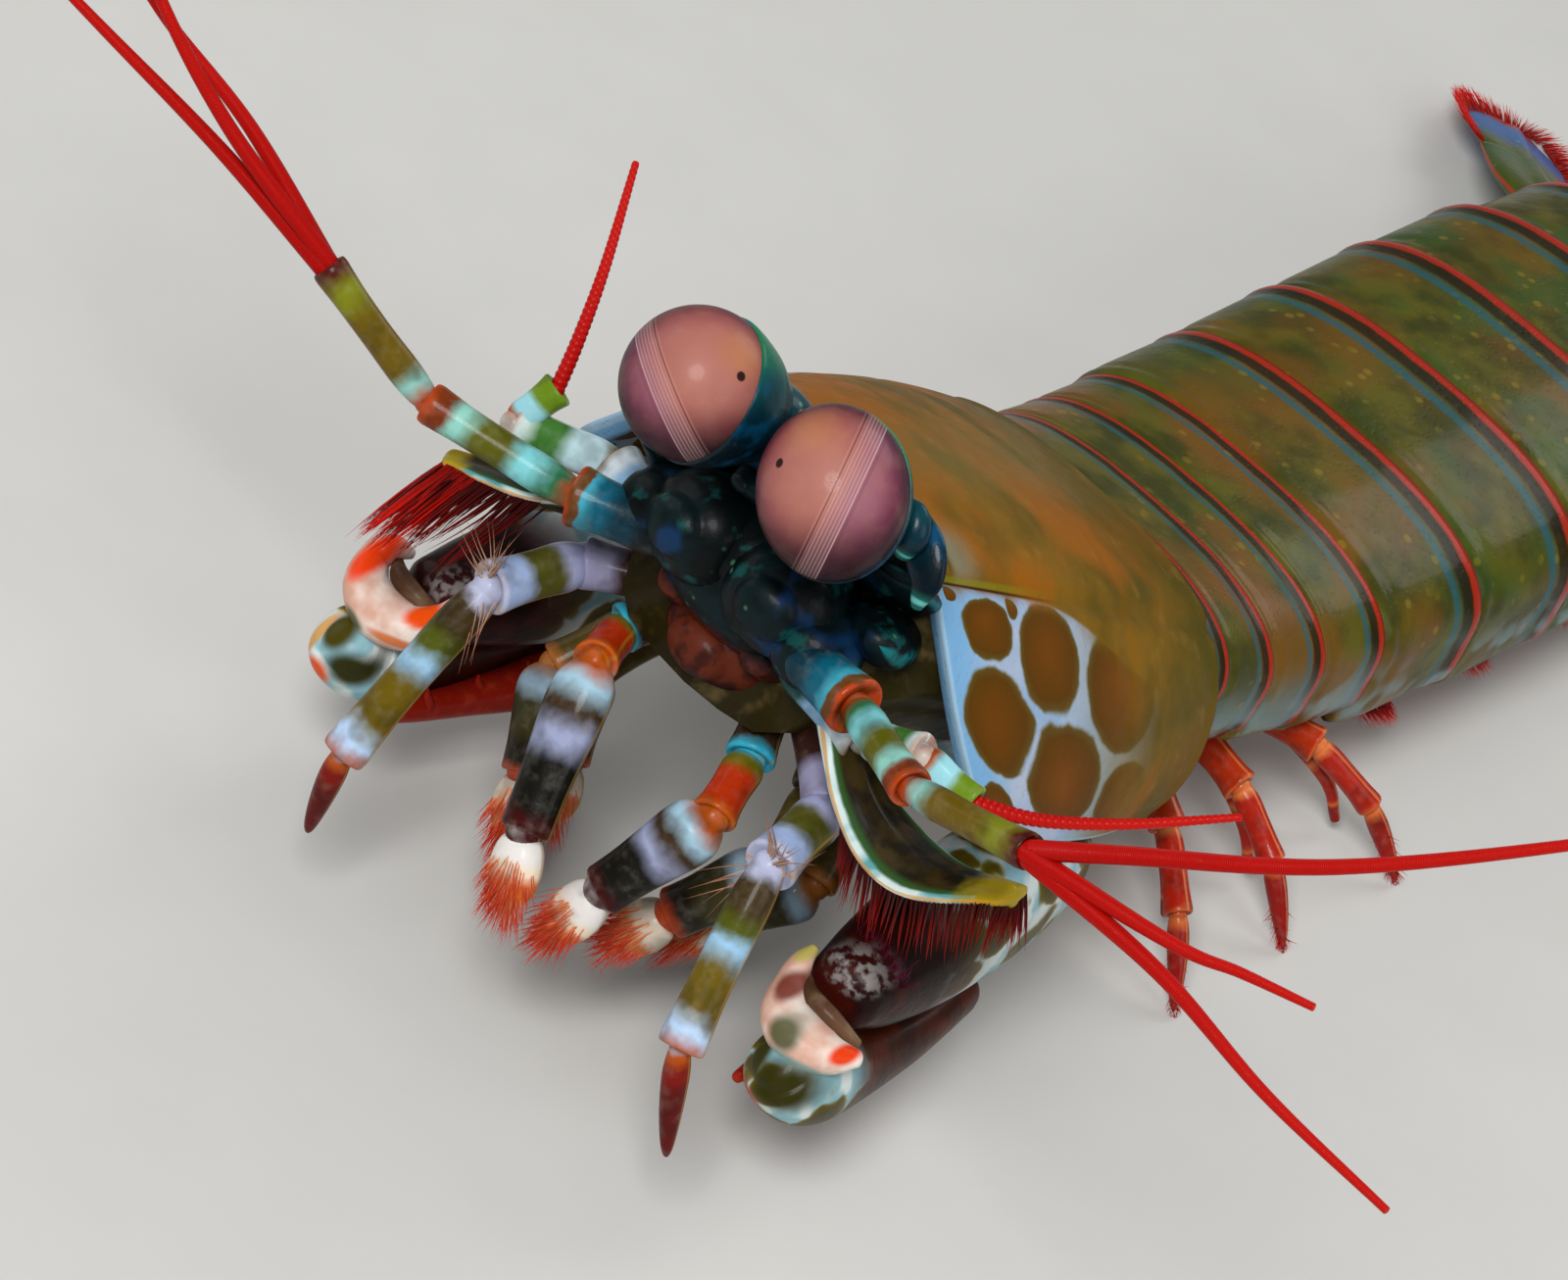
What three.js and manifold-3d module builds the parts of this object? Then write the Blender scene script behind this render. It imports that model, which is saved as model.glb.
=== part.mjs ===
// A peacock mantis shrimp, life size, standing on its walking legs and tail fan with the
// forebody raised. Millimetres, +Z up, the animal faces -Y and its left side is +X.
import * as THREE from "three";
import { mergeVertices } from "three/addons/utils/BufferGeometryUtils.js";
import Module from "manifold-3d";

const wasm = await Module();
wasm.setup();

// Driving dimensions
const GAP = 0.3; // between two touching pieces
const CLEARANCE = 0.28; // that a piece is cut back from the ones it grows from
const HEAD_PITCH = 22; // degrees that the carapace rises towards the head
const EYE_HEIGHT = 38.4; // the line through both eyes, above the floor
const EYE_SPREAD = 4.6; // from the middle plane to each eye
const AXIS_DROP = 7; // the body's axis below the line of the eyes
const ORIGIN_BACK = 63.83; // from the eyes to the middle of the animal, where the origin is
const CARAPACE = { front: -8, length: 32, wall: 1.1, groove: 0.4 };
const EYE = { half: 3.6, tall: 3.85, cup: -1.4, stalkRoot: [-8, 2.9, -2.8] };
const TELSON = { length: 21, pitch: 21, half: 11.6, carina: 0.75 };
const SIDES = { left: 1, right: -1 };

// Body rings behind the carapace: length, pitch, half width, back height, side and belly depth
const SOMITES = [
  { name: "thorax_5", length: 4, pitch: 20, half: 11.0, back: 4.7, side: 3.6, belly: 5.6 },
  { name: "thorax_6", length: 5, pitch: 17, half: 11.4, back: 4.8, side: 3.7, belly: 5.2 },
  { name: "thorax_7", length: 5.5, pitch: 12, half: 11.8, back: 5.0, side: 3.9, belly: 4.9 },
  { name: "thorax_8", length: 6, pitch: 7, half: 12.2, back: 5.3, side: 4.1, belly: 4.6 },
  { name: "abdomen_1", length: 9.5, pitch: 3, half: 12.9, back: 5.7, side: 4.9, belly: 4.2 },
  { name: "abdomen_2", length: 10, pitch: 0, half: 13.3, back: 6.0, side: 5.2, belly: 4.2 },
  { name: "abdomen_3", length: 10.5, pitch: 0, half: 13.6, back: 6.2, side: 5.3, belly: 4.2 },
  { name: "abdomen_4", length: 10.5, pitch: 2, half: 13.8, back: 6.3, side: 5.2, belly: 4.1 },
  { name: "abdomen_5", length: 11, pitch: 6, half: 13.6, back: 6.2, side: 4.9, belly: 3.9 },
  { name: "abdomen_6", length: 8, pitch: 11, half: 12.3, back: 5.4, side: 3.9, belly: 3.4 },
];

// Materials
const finish = (color, roughness, metalness = 0) =>
  new THREE.MeshStandardMaterial({ color, roughness, metalness });
const SHELL = finish(0x7a5a1c, 0.35);
const LIMB = finish(0x7f9aa0, 0.4);
const CLAW = finish(0xc9b8a0, 0.3);
const STALK = finish(0x0e6660, 0.4);
const CORNEA = finish(0x9c5a58, 0.15);
const RED = finish(0xa01208, 0.45);

// Frames: a point and its forward, left and up directions
const rad = THREE.MathUtils.degToRad;
const vec = (x, y, z) => new THREE.Vector3(x, y, z);
function frameAt(origin, pitch) {
  const forward = vec(0, -Math.cos(rad(pitch)), Math.sin(rad(pitch)));
  const up = vec(0, Math.sin(rad(pitch)), Math.cos(rad(pitch)));
  return { origin, forward, left: vec(1, 0, 0), up };
}
// The point at (forward, left, up) in a frame
function at(frame, f, l, u) {
  return frame.origin
    .clone()
    .addScaledVector(frame.forward, f)
    .addScaledVector(frame.left, l)
    .addScaledVector(frame.up, u);
}
const HEAD = frameAt(vec(0, 0, EYE_HEIGHT), HEAD_PITCH);
const AXIS = frameAt(at(HEAD, 0, 0, -AXIS_DROP), HEAD_PITCH);

// The joint frames of the body rings, from the back of the carapace to the telson
function bodyJoints() {
  const joints = [];
  let point = at(AXIS, CARAPACE.front - CARAPACE.length, 0, 0);
  let before = HEAD_PITCH;
  for (const ring of [...SOMITES, TELSON]) {
    joints.push(frameAt(point, (before + ring.pitch) / 2));
    point = at(frameAt(point, ring.pitch), -ring.length, 0, 0);
    before = ring.pitch;
  }
  return joints;
}
const JOINTS = bodyJoints();
const somite = (name) => SOMITES.findIndex((ring) => ring.name === name);
const TAIL = frameAt(JOINTS[SOMITES.length].origin, TELSON.pitch);

// Solids from closed surfaces
function solidOf(geometry) {
  const bare = geometry.clone();
  bare.deleteAttribute("normal");
  bare.deleteAttribute("uv");
  const merged = mergeVertices(bare, 1e-4);
  const vertProperties = merged.attributes.position.array;
  const triVerts = new Uint32Array(merged.index.array);
  return new wasm.Manifold(new wasm.Mesh({ numProp: 3, vertProperties, triVerts }));
}
function solidFrom(points, faces) {
  const build = (list) => {
    const geometry = new THREE.BufferGeometry();
    geometry.setAttribute(
      "position",
      new THREE.Float32BufferAttribute(points.flatMap((p) => p.toArray()), 3),
    );
    geometry.setIndex(list.flat());
    return solidOf(geometry);
  };
  const solid = build(faces);
  return solid.volume() > 0 ? solid : build(faces.map(([a, b, c]) => [a, c, b]));
}
function geometryOf(solid) {
  const mesh = solid.getMesh();
  const geometry = new THREE.BufferGeometry();
  const points = [];
  for (let i = 0; i < mesh.numVert; i++) {
    points.push(...mesh.vertProperties.slice(i * mesh.numProp, i * mesh.numProp + 3));
  }
  geometry.setAttribute("position", new THREE.Float32BufferAttribute(points, 3));
  geometry.setIndex(Array.from(mesh.triVerts));
  return geometry;
}
const largest = (solid) => solid.decompose().reduce((a, b) => (a.volume() > b.volume() ? a : b));
const fuse = (solids) => largest(solids.reduce((a, b) => a.add(b)));

// A closed loft through rings of equal length, with a fan at each end
function loft(rings) {
  const n = rings[0].length;
  const points = rings.flat();
  const faces = [];
  for (let i = 0; i + 1 < rings.length; i++) {
    for (let j = 0; j < n; j++) {
      const a = i * n + j;
      const b = i * n + ((j + 1) % n);
      faces.push([a, b, a + n], [b, b + n, a + n]);
    }
  }
  const fan = (ring, flip) => {
    const centre = rings[ring].reduce((sum, p) => sum.add(p), vec(0, 0, 0)).divideScalar(n);
    const hub = points.push(centre) - 1;
    for (let j = 0; j < n; j++) {
      const a = ring * n + j;
      const b = ring * n + ((j + 1) % n);
      faces.push(flip ? [b, a, hub] : [a, b, hub]);
    }
  };
  fan(0, true);
  fan(rings.length - 1, false);
  return solidFrom(points, faces);
}

// Stations of [point, half width, half thickness] with their directions
function rowsOf(stations, up, grow = 0) {
  const last = stations.length - 1;
  return stations.map(([p, a, b = a], i) => {
    const ahead = stations[Math.min(i + 1, last)][0];
    const behind = stations[Math.max(i - 1, 0)][0];
    const tangent = ahead.clone().sub(behind).normalize();
    const side = tangent.clone().cross(up).normalize();
    const lift = side.clone().cross(tangent).normalize();
    return { p, a: a + grow, b: b + grow, tangent, side, lift };
  });
}
// A limb, feeler or paddle through stations, its ends rounded unless they are blunt, and
// every face moved out by grow
function sweep(stations, { up = HEAD.up, sides = 8, power = 2, blunt = [], grow = 0 } = {}) {
  const last = stations.length - 1;
  const rows = rowsOf(stations, up, grow);
  const ring = ({ p, a, b, side, lift }) =>
    Array.from({ length: sides }, (_, k) => {
      const turn = ((k + 0.5) / sides) * 2 * Math.PI;
      const [c, s] = [Math.cos(turn), Math.sin(turn)];
      return p
        .clone()
        .addScaledVector(side, a * Math.sign(c) * Math.abs(c) ** (2 / power))
        .addScaledVector(lift, b * Math.sign(s) * Math.abs(s) ** (2 / power));
    });
  const moved = (row, reach, scale) =>
    ring({
      ...row,
      p: row.p.clone().addScaledVector(row.tangent, reach),
      a: row.a * scale,
      b: row.b * scale,
    });
  const rings = rows.map(ring);
  const reach = (row) => Math.min(row.a, row.b) * 0.55 + grow;
  if (blunt[0]) rings[0] = moved(rows[0], -grow, 1);
  else rings.unshift(moved(rows[0], -reach(rows[0]), 0.6));
  if (blunt[1]) rings[last + (blunt[0] ? 0 : 1)] = moved(rows[last], grow, 1);
  else rings.push(moved(rows[last], reach(rows[last]), 0.6));
  return loft(rings);
}
// The same, from stations of [forward, left, up, half width, half thickness] in a frame
const sweepIn = (frame, stations, options) =>
  sweep(
    stations.map(([f, l, u, ...half]) => [at(frame, f, l, u), ...half]),
    options,
  );
// Stations of a jointed limb: each article swells between two pinched joints
function articles(points, halves, pinch = 0.76) {
  const stations = [];
  const place = (i, t) => points[i].clone().lerp(points[i + 1], t);
  halves.forEach(([a, b = a], i) => {
    const [c, d = c] = halves[Math.max(i - 1, 0)];
    const start = i === 0 ? 1 : pinch;
    stations.push([points[i], Math.min(a, c) * start, Math.min(b, d) * start]);
    stations.push([place(i, 0.24), a, b]);
    stations.push([place(i, 0.76), a, b]);
    if (i === halves.length - 1) stations.push([points[i + 1], a * pinch, b * pinch]);
  });
  return stations;
}
// The same stations, spread evenly over a number of steps
function resample(stations, steps) {
  const curve = new THREE.CatmullRomCurve3(stations.map(([p]) => p));
  const sizes = new THREE.CatmullRomCurve3(stations.map(([, a, b]) => vec(a, b, 0)));
  return Array.from({ length: steps + 1 }, (_, i) => {
    const { x, y } = sizes.getPoint(i / steps);
    return [curve.getPoint(i / steps), x, y];
  });
}
// A spine from its root, sunk into what carries it, to its pointed end
function spine(root, tip, { half, thick = half, normal = HEAD.up, sink = 0.6, sides = 4, grow = 0 }) {
  const along = tip.clone().sub(root);
  const length = along.length() + sink;
  const thin = Math.min(half, thick);
  const swell = 1 + (grow * Math.hypot(length, thin)) / (length * thin);
  along.normalize();
  const across = along.clone().cross(normal).normalize();
  const turn = new THREE.Matrix4().makeBasis(across, along, across.clone().cross(along));
  const cone = new THREE.ConeGeometry(1, length * swell, sides);
  cone.translate(0, (length * swell) / 2 - sink, 0).scale(half * swell, 1, thick * swell);
  return solidOf(cone.applyMatrix4(turn).translate(root.x, root.y, root.z));
}
// A flat lobe with a ridge along its middle and pointed bristles on its rim. reach(i, way)
// is the bristle's length between rows i and i + 1 on one side, 0 where there is none, and
// at the tip i is the last row. Bristles slant to the tip and lean one way.
function blade(stations, { up, edge, slant = 0.9, lean = vec(0, 0, 0), reach, grow = 0 }) {
  const rows = rowsOf(stations, up, grow);
  const last = rows.length - 1;
  const points = [];
  const faces = [];
  const pair = ({ p, a, b, side, lift }, way) => {
    const from = p.clone().addScaledVector(side, a * way);
    const thick = way === 0 ? b : edge + grow;
    return [1, -1].map((face) => points.push(from.clone().addScaledVector(lift, thick * face)) - 1);
  };
  const grids = rows.map((row) => [1, 0, -1].map((way) => pair(row, way)));
  const quad = (a, b, c, d) => faces.push([a, b, c], [a, c, d]);
  for (let i = 0; i < last; i++) {
    for (const k of [0, 1]) {
      const [a, b, c, d] = [grids[i][k], grids[i + 1][k], grids[i + 1][k + 1], grids[i][k + 1]];
      quad(a[0], b[0], c[0], d[0]);
      faces.push([a[1], c[1], b[1]], [a[1], d[1], c[1]]);
    }
  }
  const margin = (a, b, length = 0, lie = lean) => {
    if (!length) return quad(a[1], b[1], b[0], a[0]);
    const root = vec(0, 0, 0);
    [...a, ...b].forEach((k) => root.addScaledVector(points[k], 0.25));
    const half = points[a[0]].distanceTo(points[b[0]]) / 2;
    const far = length + (grow * Math.hypot(length, half)) / half;
    const tip = points.push(root.addScaledVector(lie.normalize(), far)) - 1;
    faces.push([a[0], tip, b[0]], [b[1], tip, a[1]], [a[0], a[1], tip], [b[0], tip, b[1]]);
  };
  const lie = (i, way, out, along) =>
    lean.clone().addScaledVector(rows[i].side, out * way).addScaledVector(rows[i].tangent, along);
  for (let i = 0; i < last; i++) {
    margin(grids[i][0], grids[i + 1][0], reach(i, 1), lie(i, 1, 1, slant));
    margin(grids[i + 1][2], grids[i][2], reach(i, -1), lie(i, -1, 1, slant));
  }
  margin(grids[last][0], grids[last][1], reach(last, 1), lie(last, 1, 0.4, 1));
  margin(grids[last][1], grids[last][2], reach(last, -1), lie(last, -1, 0.4, 1));
  margin(grids[0][2], grids[0][1]);
  margin(grids[0][1], grids[0][0]);
  return solidFrom(points, faces);
}
// A bristle's length, varied from one to the next
const varied = (length, i) => length * (0.86 + 0.14 * Math.sin(2.4 * i));
const inFrame = (frame, places) => places.map(([f, l, u]) => at(frame, f, l, u));
// A smooth curve through points, as stations that taper from one half width to another
function taper(points, from, to, steps) {
  const curve = new THREE.CatmullRomCurve3(points);
  return curve.getPoints(steps).map((p, i) => [p, from + (to - from) * (i / steps)]);
}

// The animal: each piece is cut clear of the ones placed before it, and flat on the floor
const slab = new THREE.BoxGeometry(200, 400, 10);
const underFloor = solidOf(slab.translate(0, 0, -5));
const animal = new THREE.Group();
const placed = [];
const touches = (a, b) => {
  const [p, q] = [a.boundingBox(), b.boundingBox()];
  return [0, 1, 2].every((k) => p.min[k] < q.max[k] && q.min[k] < p.max[k]);
};
function piece(name, material, build) {
  let solid = build(0);
  for (const other of placed) {
    if (!touches(solid, other)) continue;
    if (solid.intersect(other).volume() > 1e-6) solid = largest(solid.subtract(other));
  }
  if (solid.boundingBox().min[2] < 0) solid = largest(solid.subtract(underFloor));
  placed.push(build(CLEARANCE));
  const mesh = new THREE.Mesh(geometryOf(solid), material);
  mesh.name = name;
  animal.add(mesh);
}

// Carapace: half profiles of [left, up from the axis] at its front, middle and back
const PROFILES = [
  [[0, 6.4], [4.2, 6.2], [7.2, 5.1], [9.3, 2.9], [12.0, -0.4], [14.3, -3.2], [15.4, -4.9]],
  [[0, 6.9], [4.8, 6.6], [8.9, 5.2], [12.0, 2.5], [14.2, -0.7], [15.3, -3.5], [15.5, -5.6]],
  [[0, 5.6], [5.0, 5.3], [9.3, 4.1], [12.2, 1.7], [13.7, -1.2], [14.3, -3.7], [14.3, -5.6]],
];
const FRONT_EDGE = [-8, -8.2, -8.8, -9.6, -11.2, -13.4, -17]; // forward place of each point
const REAR_EDGE = [-39.2, -39.6, -39.9, -39.9, -39.6, -38.6, -36.5];
const CENTRE_DROP = 6; // the point that the shell's inside is scaled towards, below the axis
const SHELL_COLUMNS = 22;
const GROOVE_AT = 8 / SHELL_COLUMNS; // the groove beside the middle plate, at a column of the grid

// The shell's place at s (0 front, 1 back) and t (-1 right edge, 0 middle, 1 left edge)
function shellPoint(s, t, inward) {
  const along = Math.abs(t) * (FRONT_EDGE.length - 1);
  const i = Math.min(Math.floor(along), FRONT_EDGE.length - 2);
  const pick = (list) => list[i] + (list[i + 1] - list[i]) * (along - i);
  const blend = ([front, middle, back]) =>
    front * (1 - s) * (1 - 2 * s) + middle * 4 * s * (1 - s) + back * s * (2 * s - 1);
  const l = blend(PROFILES.map((profile) => pick(profile.map((p) => p[0]))));
  const u = blend(PROFILES.map((profile) => pick(profile.map((p) => p[1]))));
  const f = pick(FRONT_EDGE) * (1 - s) + pick(REAR_EDGE) * s;
  const grooved = Math.abs(Math.abs(t) - GROOVE_AT) < 0.01 && inward <= 0;
  const drop = (inward + (grooved ? CARAPACE.groove : 0)) / Math.hypot(l * 0.6, u + CENTRE_DROP);
  return at(AXIS, f, Math.sign(t) * l * (1 - 0.6 * drop), u - (u + CENTRE_DROP) * drop);
}
// A closed sheet between two like grids of points, both split along their shorter diagonals
function sheet(outer, inner) {
  const [rows, cols] = [outer.length, outer[0].length];
  const id = (layer, i, j) => (layer * rows + i) * cols + j;
  const faces = [];
  const quad = (a, b, c, d) => faces.push([a, b, c], [a, c, d]);
  for (let i = 0; i + 1 < rows; i++) {
    for (let j = 0; j + 1 < cols; j++) {
      const [a, b, c, d] = [[i, j], [i + 1, j], [i + 1, j + 1], [i, j + 1]];
      const far = (p, q) => outer[p[0]][p[1]].distanceTo(outer[q[0]][q[1]]);
      const split = far(a, c) < far(b, d) ? [[a, b, c], [a, c, d]] : [[a, b, d], [b, c, d]];
      for (const three of split) {
        faces.push(three.map(([r, k]) => id(0, r, k)));
        faces.push(three.map(([r, k]) => id(1, r, k)).reverse());
      }
    }
    quad(id(0, i, 0), id(1, i, 0), id(1, i + 1, 0), id(0, i + 1, 0));
    const e = cols - 1;
    quad(id(0, i, e), id(0, i + 1, e), id(1, i + 1, e), id(1, i, e));
  }
  for (let j = 0; j + 1 < cols; j++) {
    const e = rows - 1;
    quad(id(0, 0, j), id(0, 0, j + 1), id(1, 0, j + 1), id(1, 0, j));
    quad(id(0, e, j), id(1, e, j), id(1, e, j + 1), id(0, e, j + 1));
  }
  return solidFrom([...outer.flat(), ...inner.flat()], faces);
}
const grid = (rows, cols, point) =>
  Array.from({ length: rows + 1 }, (_, i) =>
    Array.from({ length: cols + 1 }, (_, j) => point(i / rows, (j / cols) * 2 - 1)),
  );
piece("carapace", SHELL, (grow) => {
  const [sReach, tReach] = [grow / CARAPACE.length, grow / 20];
  const layer = (inward) =>
    grid(8, SHELL_COLUMNS, (s, t) => {
      const wide = Math.abs(t) === 1 ? t * (1 + tReach) : t;
      return shellPoint(s * (1 + 2 * sReach) - sReach, wide, inward);
    });
  return sheet(layer(-grow), layer(CARAPACE.wall + grow));
});

// The pointed plate hinged to the front of the carapace, above the eye stalks
piece("rostral_plate", SHELL, (grow) => {
  const front = CARAPACE.front + GAP;
  const stations = [
    [front, 0, 5.95, 3.9, 0.42],
    [front + 1.5, 0, 6.8, 3.6, 0.42],
    [front + 3.0, 0, 7.5, 2.3, 0.4],
    [front + 4.2, 0, 7.9, 0.9, 0.35],
    [front + 5.2, 0, 8.1, 0.3, 0.28],
  ];
  return sweepIn(AXIS, stations, { power: 3, blunt: [true, true], grow });
});

// Half outline of a body ring, from the middle of the back to the belly
function ringOutline({ half, back, side, belly }, swell, grow) {
  const arch = 9;
  const upper = Array.from({ length: arch + 1 }, (_, k) => {
    const turn = (k / arch) * (Math.PI / 2);
    const out = half * swell + grow;
    return [out * Math.sin(turn) ** 0.78, (back * swell + grow) * Math.cos(turn) ** 0.82 - 0.6];
  });
  const lower = [
    [half * 0.99 * swell + grow, -side * 0.62],
    [half * 0.95 * swell + grow, -side - grow],
    [half * 0.8, -belly * 0.86 - grow],
    [half * 0.42, -belly - grow],
  ];
  return [...upper, ...lower];
}
// The rear spines of a body ring, each at a turn from the middle of the back, in degrees
const REAR_SPINES = {
  abdomen_5: { turns: [86], half: 0.75, reach: 1.5 },
  abdomen_6: { turns: [16, 44, 74], half: 0.8, reach: 2.0 },
};
function rearSpines(ring, rear, grow) {
  const { turns, half, reach } = REAR_SPINES[ring.name] ?? { turns: [] };
  const edge = (turn) => [
    ring.half * 0.97 * Math.sin(rad(turn)) ** 0.78,
    (ring.back * 0.94) * Math.cos(rad(turn)) ** 0.82 - 0.75,
  ];
  return Object.values(SIDES).flatMap((sign) =>
    turns.map((turn) => {
      const [l, u] = edge(turn);
      const root = at(rear, 0.3, l * sign, u);
      return spine(root, at(rear, -reach, l * sign * 0.97, u), { half, normal: rear.up, sink: 1, grow });
    }),
  );
}
// A body ring between two joint frames; overlap runs it into the piece in front
function bodyRing(ring, front, rear, grow, overlap = 0) {
  const flare = [
    [0, 0.955],
    [0.45, 0.99],
    [0.86, 1.015],
    [1, 1.0],
  ];
  const rings = flare.map(([t, swell]) => {
    const ends = { 0: overlap - GAP / 2 + grow, 1: GAP / 2 - grow };
    const shift = ends[t] ?? 0;
    const between = (a, b) => a.clone().lerp(b, t);
    const frame = {
      origin: between(front.origin, rear.origin),
      forward: between(front.forward, rear.forward).normalize(),
      left: front.left,
      up: between(front.up, rear.up).normalize(),
    };
    const half = ringOutline(ring, swell, grow).map(([l, u]) => [shift, l, u]);
    const left = inFrame(frame, half.slice(1));
    const right = inFrame(frame, half.slice(1).reverse()).map((p) => p.setX(-p.x));
    return [at(frame, shift, 0, half[0][2]), ...left, ...right];
  });
  return fuse([loft(rings), ...rearSpines(ring, rear, grow)]);
}

// The body under the carapace, with the short fifth ring of the thorax at its back
function thoraxFront(grow) {
  const [rows, half, reach] = [4, 5, 0.62];
  const inward = CARAPACE.wall + GAP + 0.25 - grow;
  const rings = Array.from({ length: rows + 1 }, (_, i) => {
    const s = 0.045 + 0.955 * (i / rows);
    const f = CARAPACE.front - CARAPACE.length * s + (i === 0 ? grow : 0);
    const upper = Array.from({ length: half * 2 + 1 }, (_, j) => {
      const from = shellPoint(s, (j / half - 1) * -reach, inward).sub(AXIS.origin);
      return [f, from.dot(AXIS.left), from.dot(AXIS.up)];
    });
    const wide = 5.6 + 3.2 * s + grow;
    const belly = -7.6 + 1.2 * s - grow;
    const lower = [
      [-wide - 0.6, -4.4 - grow],
      [-wide * 0.78, belly + 0.5],
      [-wide * 0.3, belly],
    ];
    const right = lower.map(([l, u]) => [f, l, u]);
    const left = lower.map(([l, u]) => [f, -l, u]).reverse();
    return inFrame(AXIS, [...upper, ...right, ...left]);
  });
  const last = bodyRing(SOMITES[0], JOINTS[0], JOINTS[1], grow, 1.5);
  return fuse([loft(rings), last]);
}
piece("thorax_front", SHELL, thoraxFront);
SOMITES.slice(1).forEach((ring, i) =>
  piece(ring.name, SHELL, (grow) => bodyRing(ring, JOINTS[i + 1], JOINTS[i + 2], grow)),
);

// The head in front of the carapace, with the upper lip below it
piece("head", STALK, (grow) => {
  const face = [
    [-9.05, 0, -7.4, 7.0, 4.6],
    [-7.4, 0, -7.6, 6.8, 4.4],
    [-5.8, 0, -7.6, 5.4, 3.2],
    [-4.9, 0, -7.7, 3.8, 2.0],
  ];
  const lip = [
    [-9.05, 0, -12.4, 2.6, 2.2],
    [-7.6, 0, -12.9, 2.2, 1.9],
    [-6.7, 0, -12.7, 1.5, 1.3],
  ];
  return fuse([
    sweepIn(HEAD, face, { sides: 14, power: 2.4, blunt: [true, false], grow }),
    sweepIn(HEAD, lip, { sides: 8, blunt: [true, false], grow }),
  ]);
});

// The tail: telson with its carinae and its submedian, intermediate and lateral teeth, each
// tooth a point of the plate's margin that is drawn out
const TELSON_TEETH = [
  { row: 6, column: 4, reach: 2.6, out: -0.45 },
  { row: 6, column: 10, reach: 2.8, out: 0.6 },
  { row: 4, column: 10, reach: 2.2, out: 1.0 },
];
function telson(grow) {
  const [rows, half] = [6, 10];
  const width = (s) => TELSON.half * (0.88 + 0.5 * s - 0.86 * s ** 3) + grow;
  const point = (above) => (s, c) => {
    const [row, column] = [Math.round(s * rows), Math.round(Math.abs(c) * half)];
    const tooth = TELSON_TEETH.find((t) => t.row === row && t.column === column);
    const ridge = column % 3 === 0 ? TELSON.carina * (0.3 + 0.7 * s) : 0;
    const crown = (3.6 - 1.9 * s) * Math.sqrt(1 - 0.86 * c * c) + ridge - 0.6;
    const under = -2.6 + 1.4 * s + 1.1 * c * c;
    const middle = (crown + under) / 2;
    const face = above ? 1 : -1;
    const thick = tooth ? 0.3 : (crown - under) / 2;
    const plate = (TELSON.length - 0.4) * s * (1 - 0.16 * c * c * s * s);
    const back = GAP / 2 + 0.1 + plate + (tooth ? tooth.reach : 0) + (s < 0.5 ? -grow : grow);
    const out = width(s) * c + (tooth ? tooth.out * Math.sign(c) : 0);
    return at(TAIL, -back, out, middle + face * (thick + grow));
  };
  return sheet(grid(rows, 2 * half, point(true)), grid(rows, 2 * half, point(false)));
}
piece("telson", SHELL, telson);

// The left uropod's lobes as [back, left, up, half width, half thickness] behind the tail joint
const UROPOD = {
  stem: [
    [1.6, 9.0, -1.4, 2.4, 1.4],
    [-1.5, 11.8, -1.7, 2.9, 1.5],
    [-4.4, 13.4, -1.9, 2.7, 1.3],
  ],
  outer: [
    [-3.2, 14.2, -1.8, 2.4, 1.0],
    [-6.8, 17.2, -1.8, 3.7, 0.9],
    [-11.4, 20.4, -1.7, 3.9, 0.7],
  ],
  end: [
    [-10.6, 19.9, -1.7, 2.2, 0.6],
    [-13.2, 21.7, -1.7, 4.0, 0.55],
    [-17.2, 24.2, -1.6, 4.2, 0.5],
    [-20.0, 25.8, -1.5, 2.4, 0.4],
  ],
  inner: [
    [-3.4, 12.4, -2.0, 1.6, 0.8],
    [-7.8, 13.6, -2.0, 2.3, 0.65],
    [-13.0, 14.7, -1.8, 2.5, 0.5],
    [-17.0, 15.6, -1.7, 1.3, 0.4],
  ],
};
const ALONG_FLOOR = vec(0, 0, Math.sin(rad(TELSON.pitch))); // levels what points down the tail
function uropod(sign, grow) {
  const own = (stations) =>
    stations.map(([f, l, u, ...half]) => [at(TAIL, f, l * sign, u), ...half]);
  const lobe = (stations, steps, edge, reach) =>
    blade(resample(own(stations), steps), {
      up: TAIL.up,
      edge,
      lean: ALONG_FLOOR,
      reach: (i, way) => reach(i, way * sign),
      grow,
    });
  const spines = (i, outer) => (i < 7 && outer > 0 ? varied(1.8, i) : 0);
  const fringe = (from, length) => (i, outer) => (i < from ? 0 : varied(length, i + outer));
  return fuse([
    sweep(own(UROPOD.stem), { up: TAIL.up, sides: 8, power: 3, grow }),
    lobe(UROPOD.outer, 7, 0.45, spines),
    lobe(UROPOD.end, 7, 0.3, fringe(2, 2.6)),
    lobe(UROPOD.inner, 7, 0.3, fringe(2, 2.2)),
  ]);
}

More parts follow.
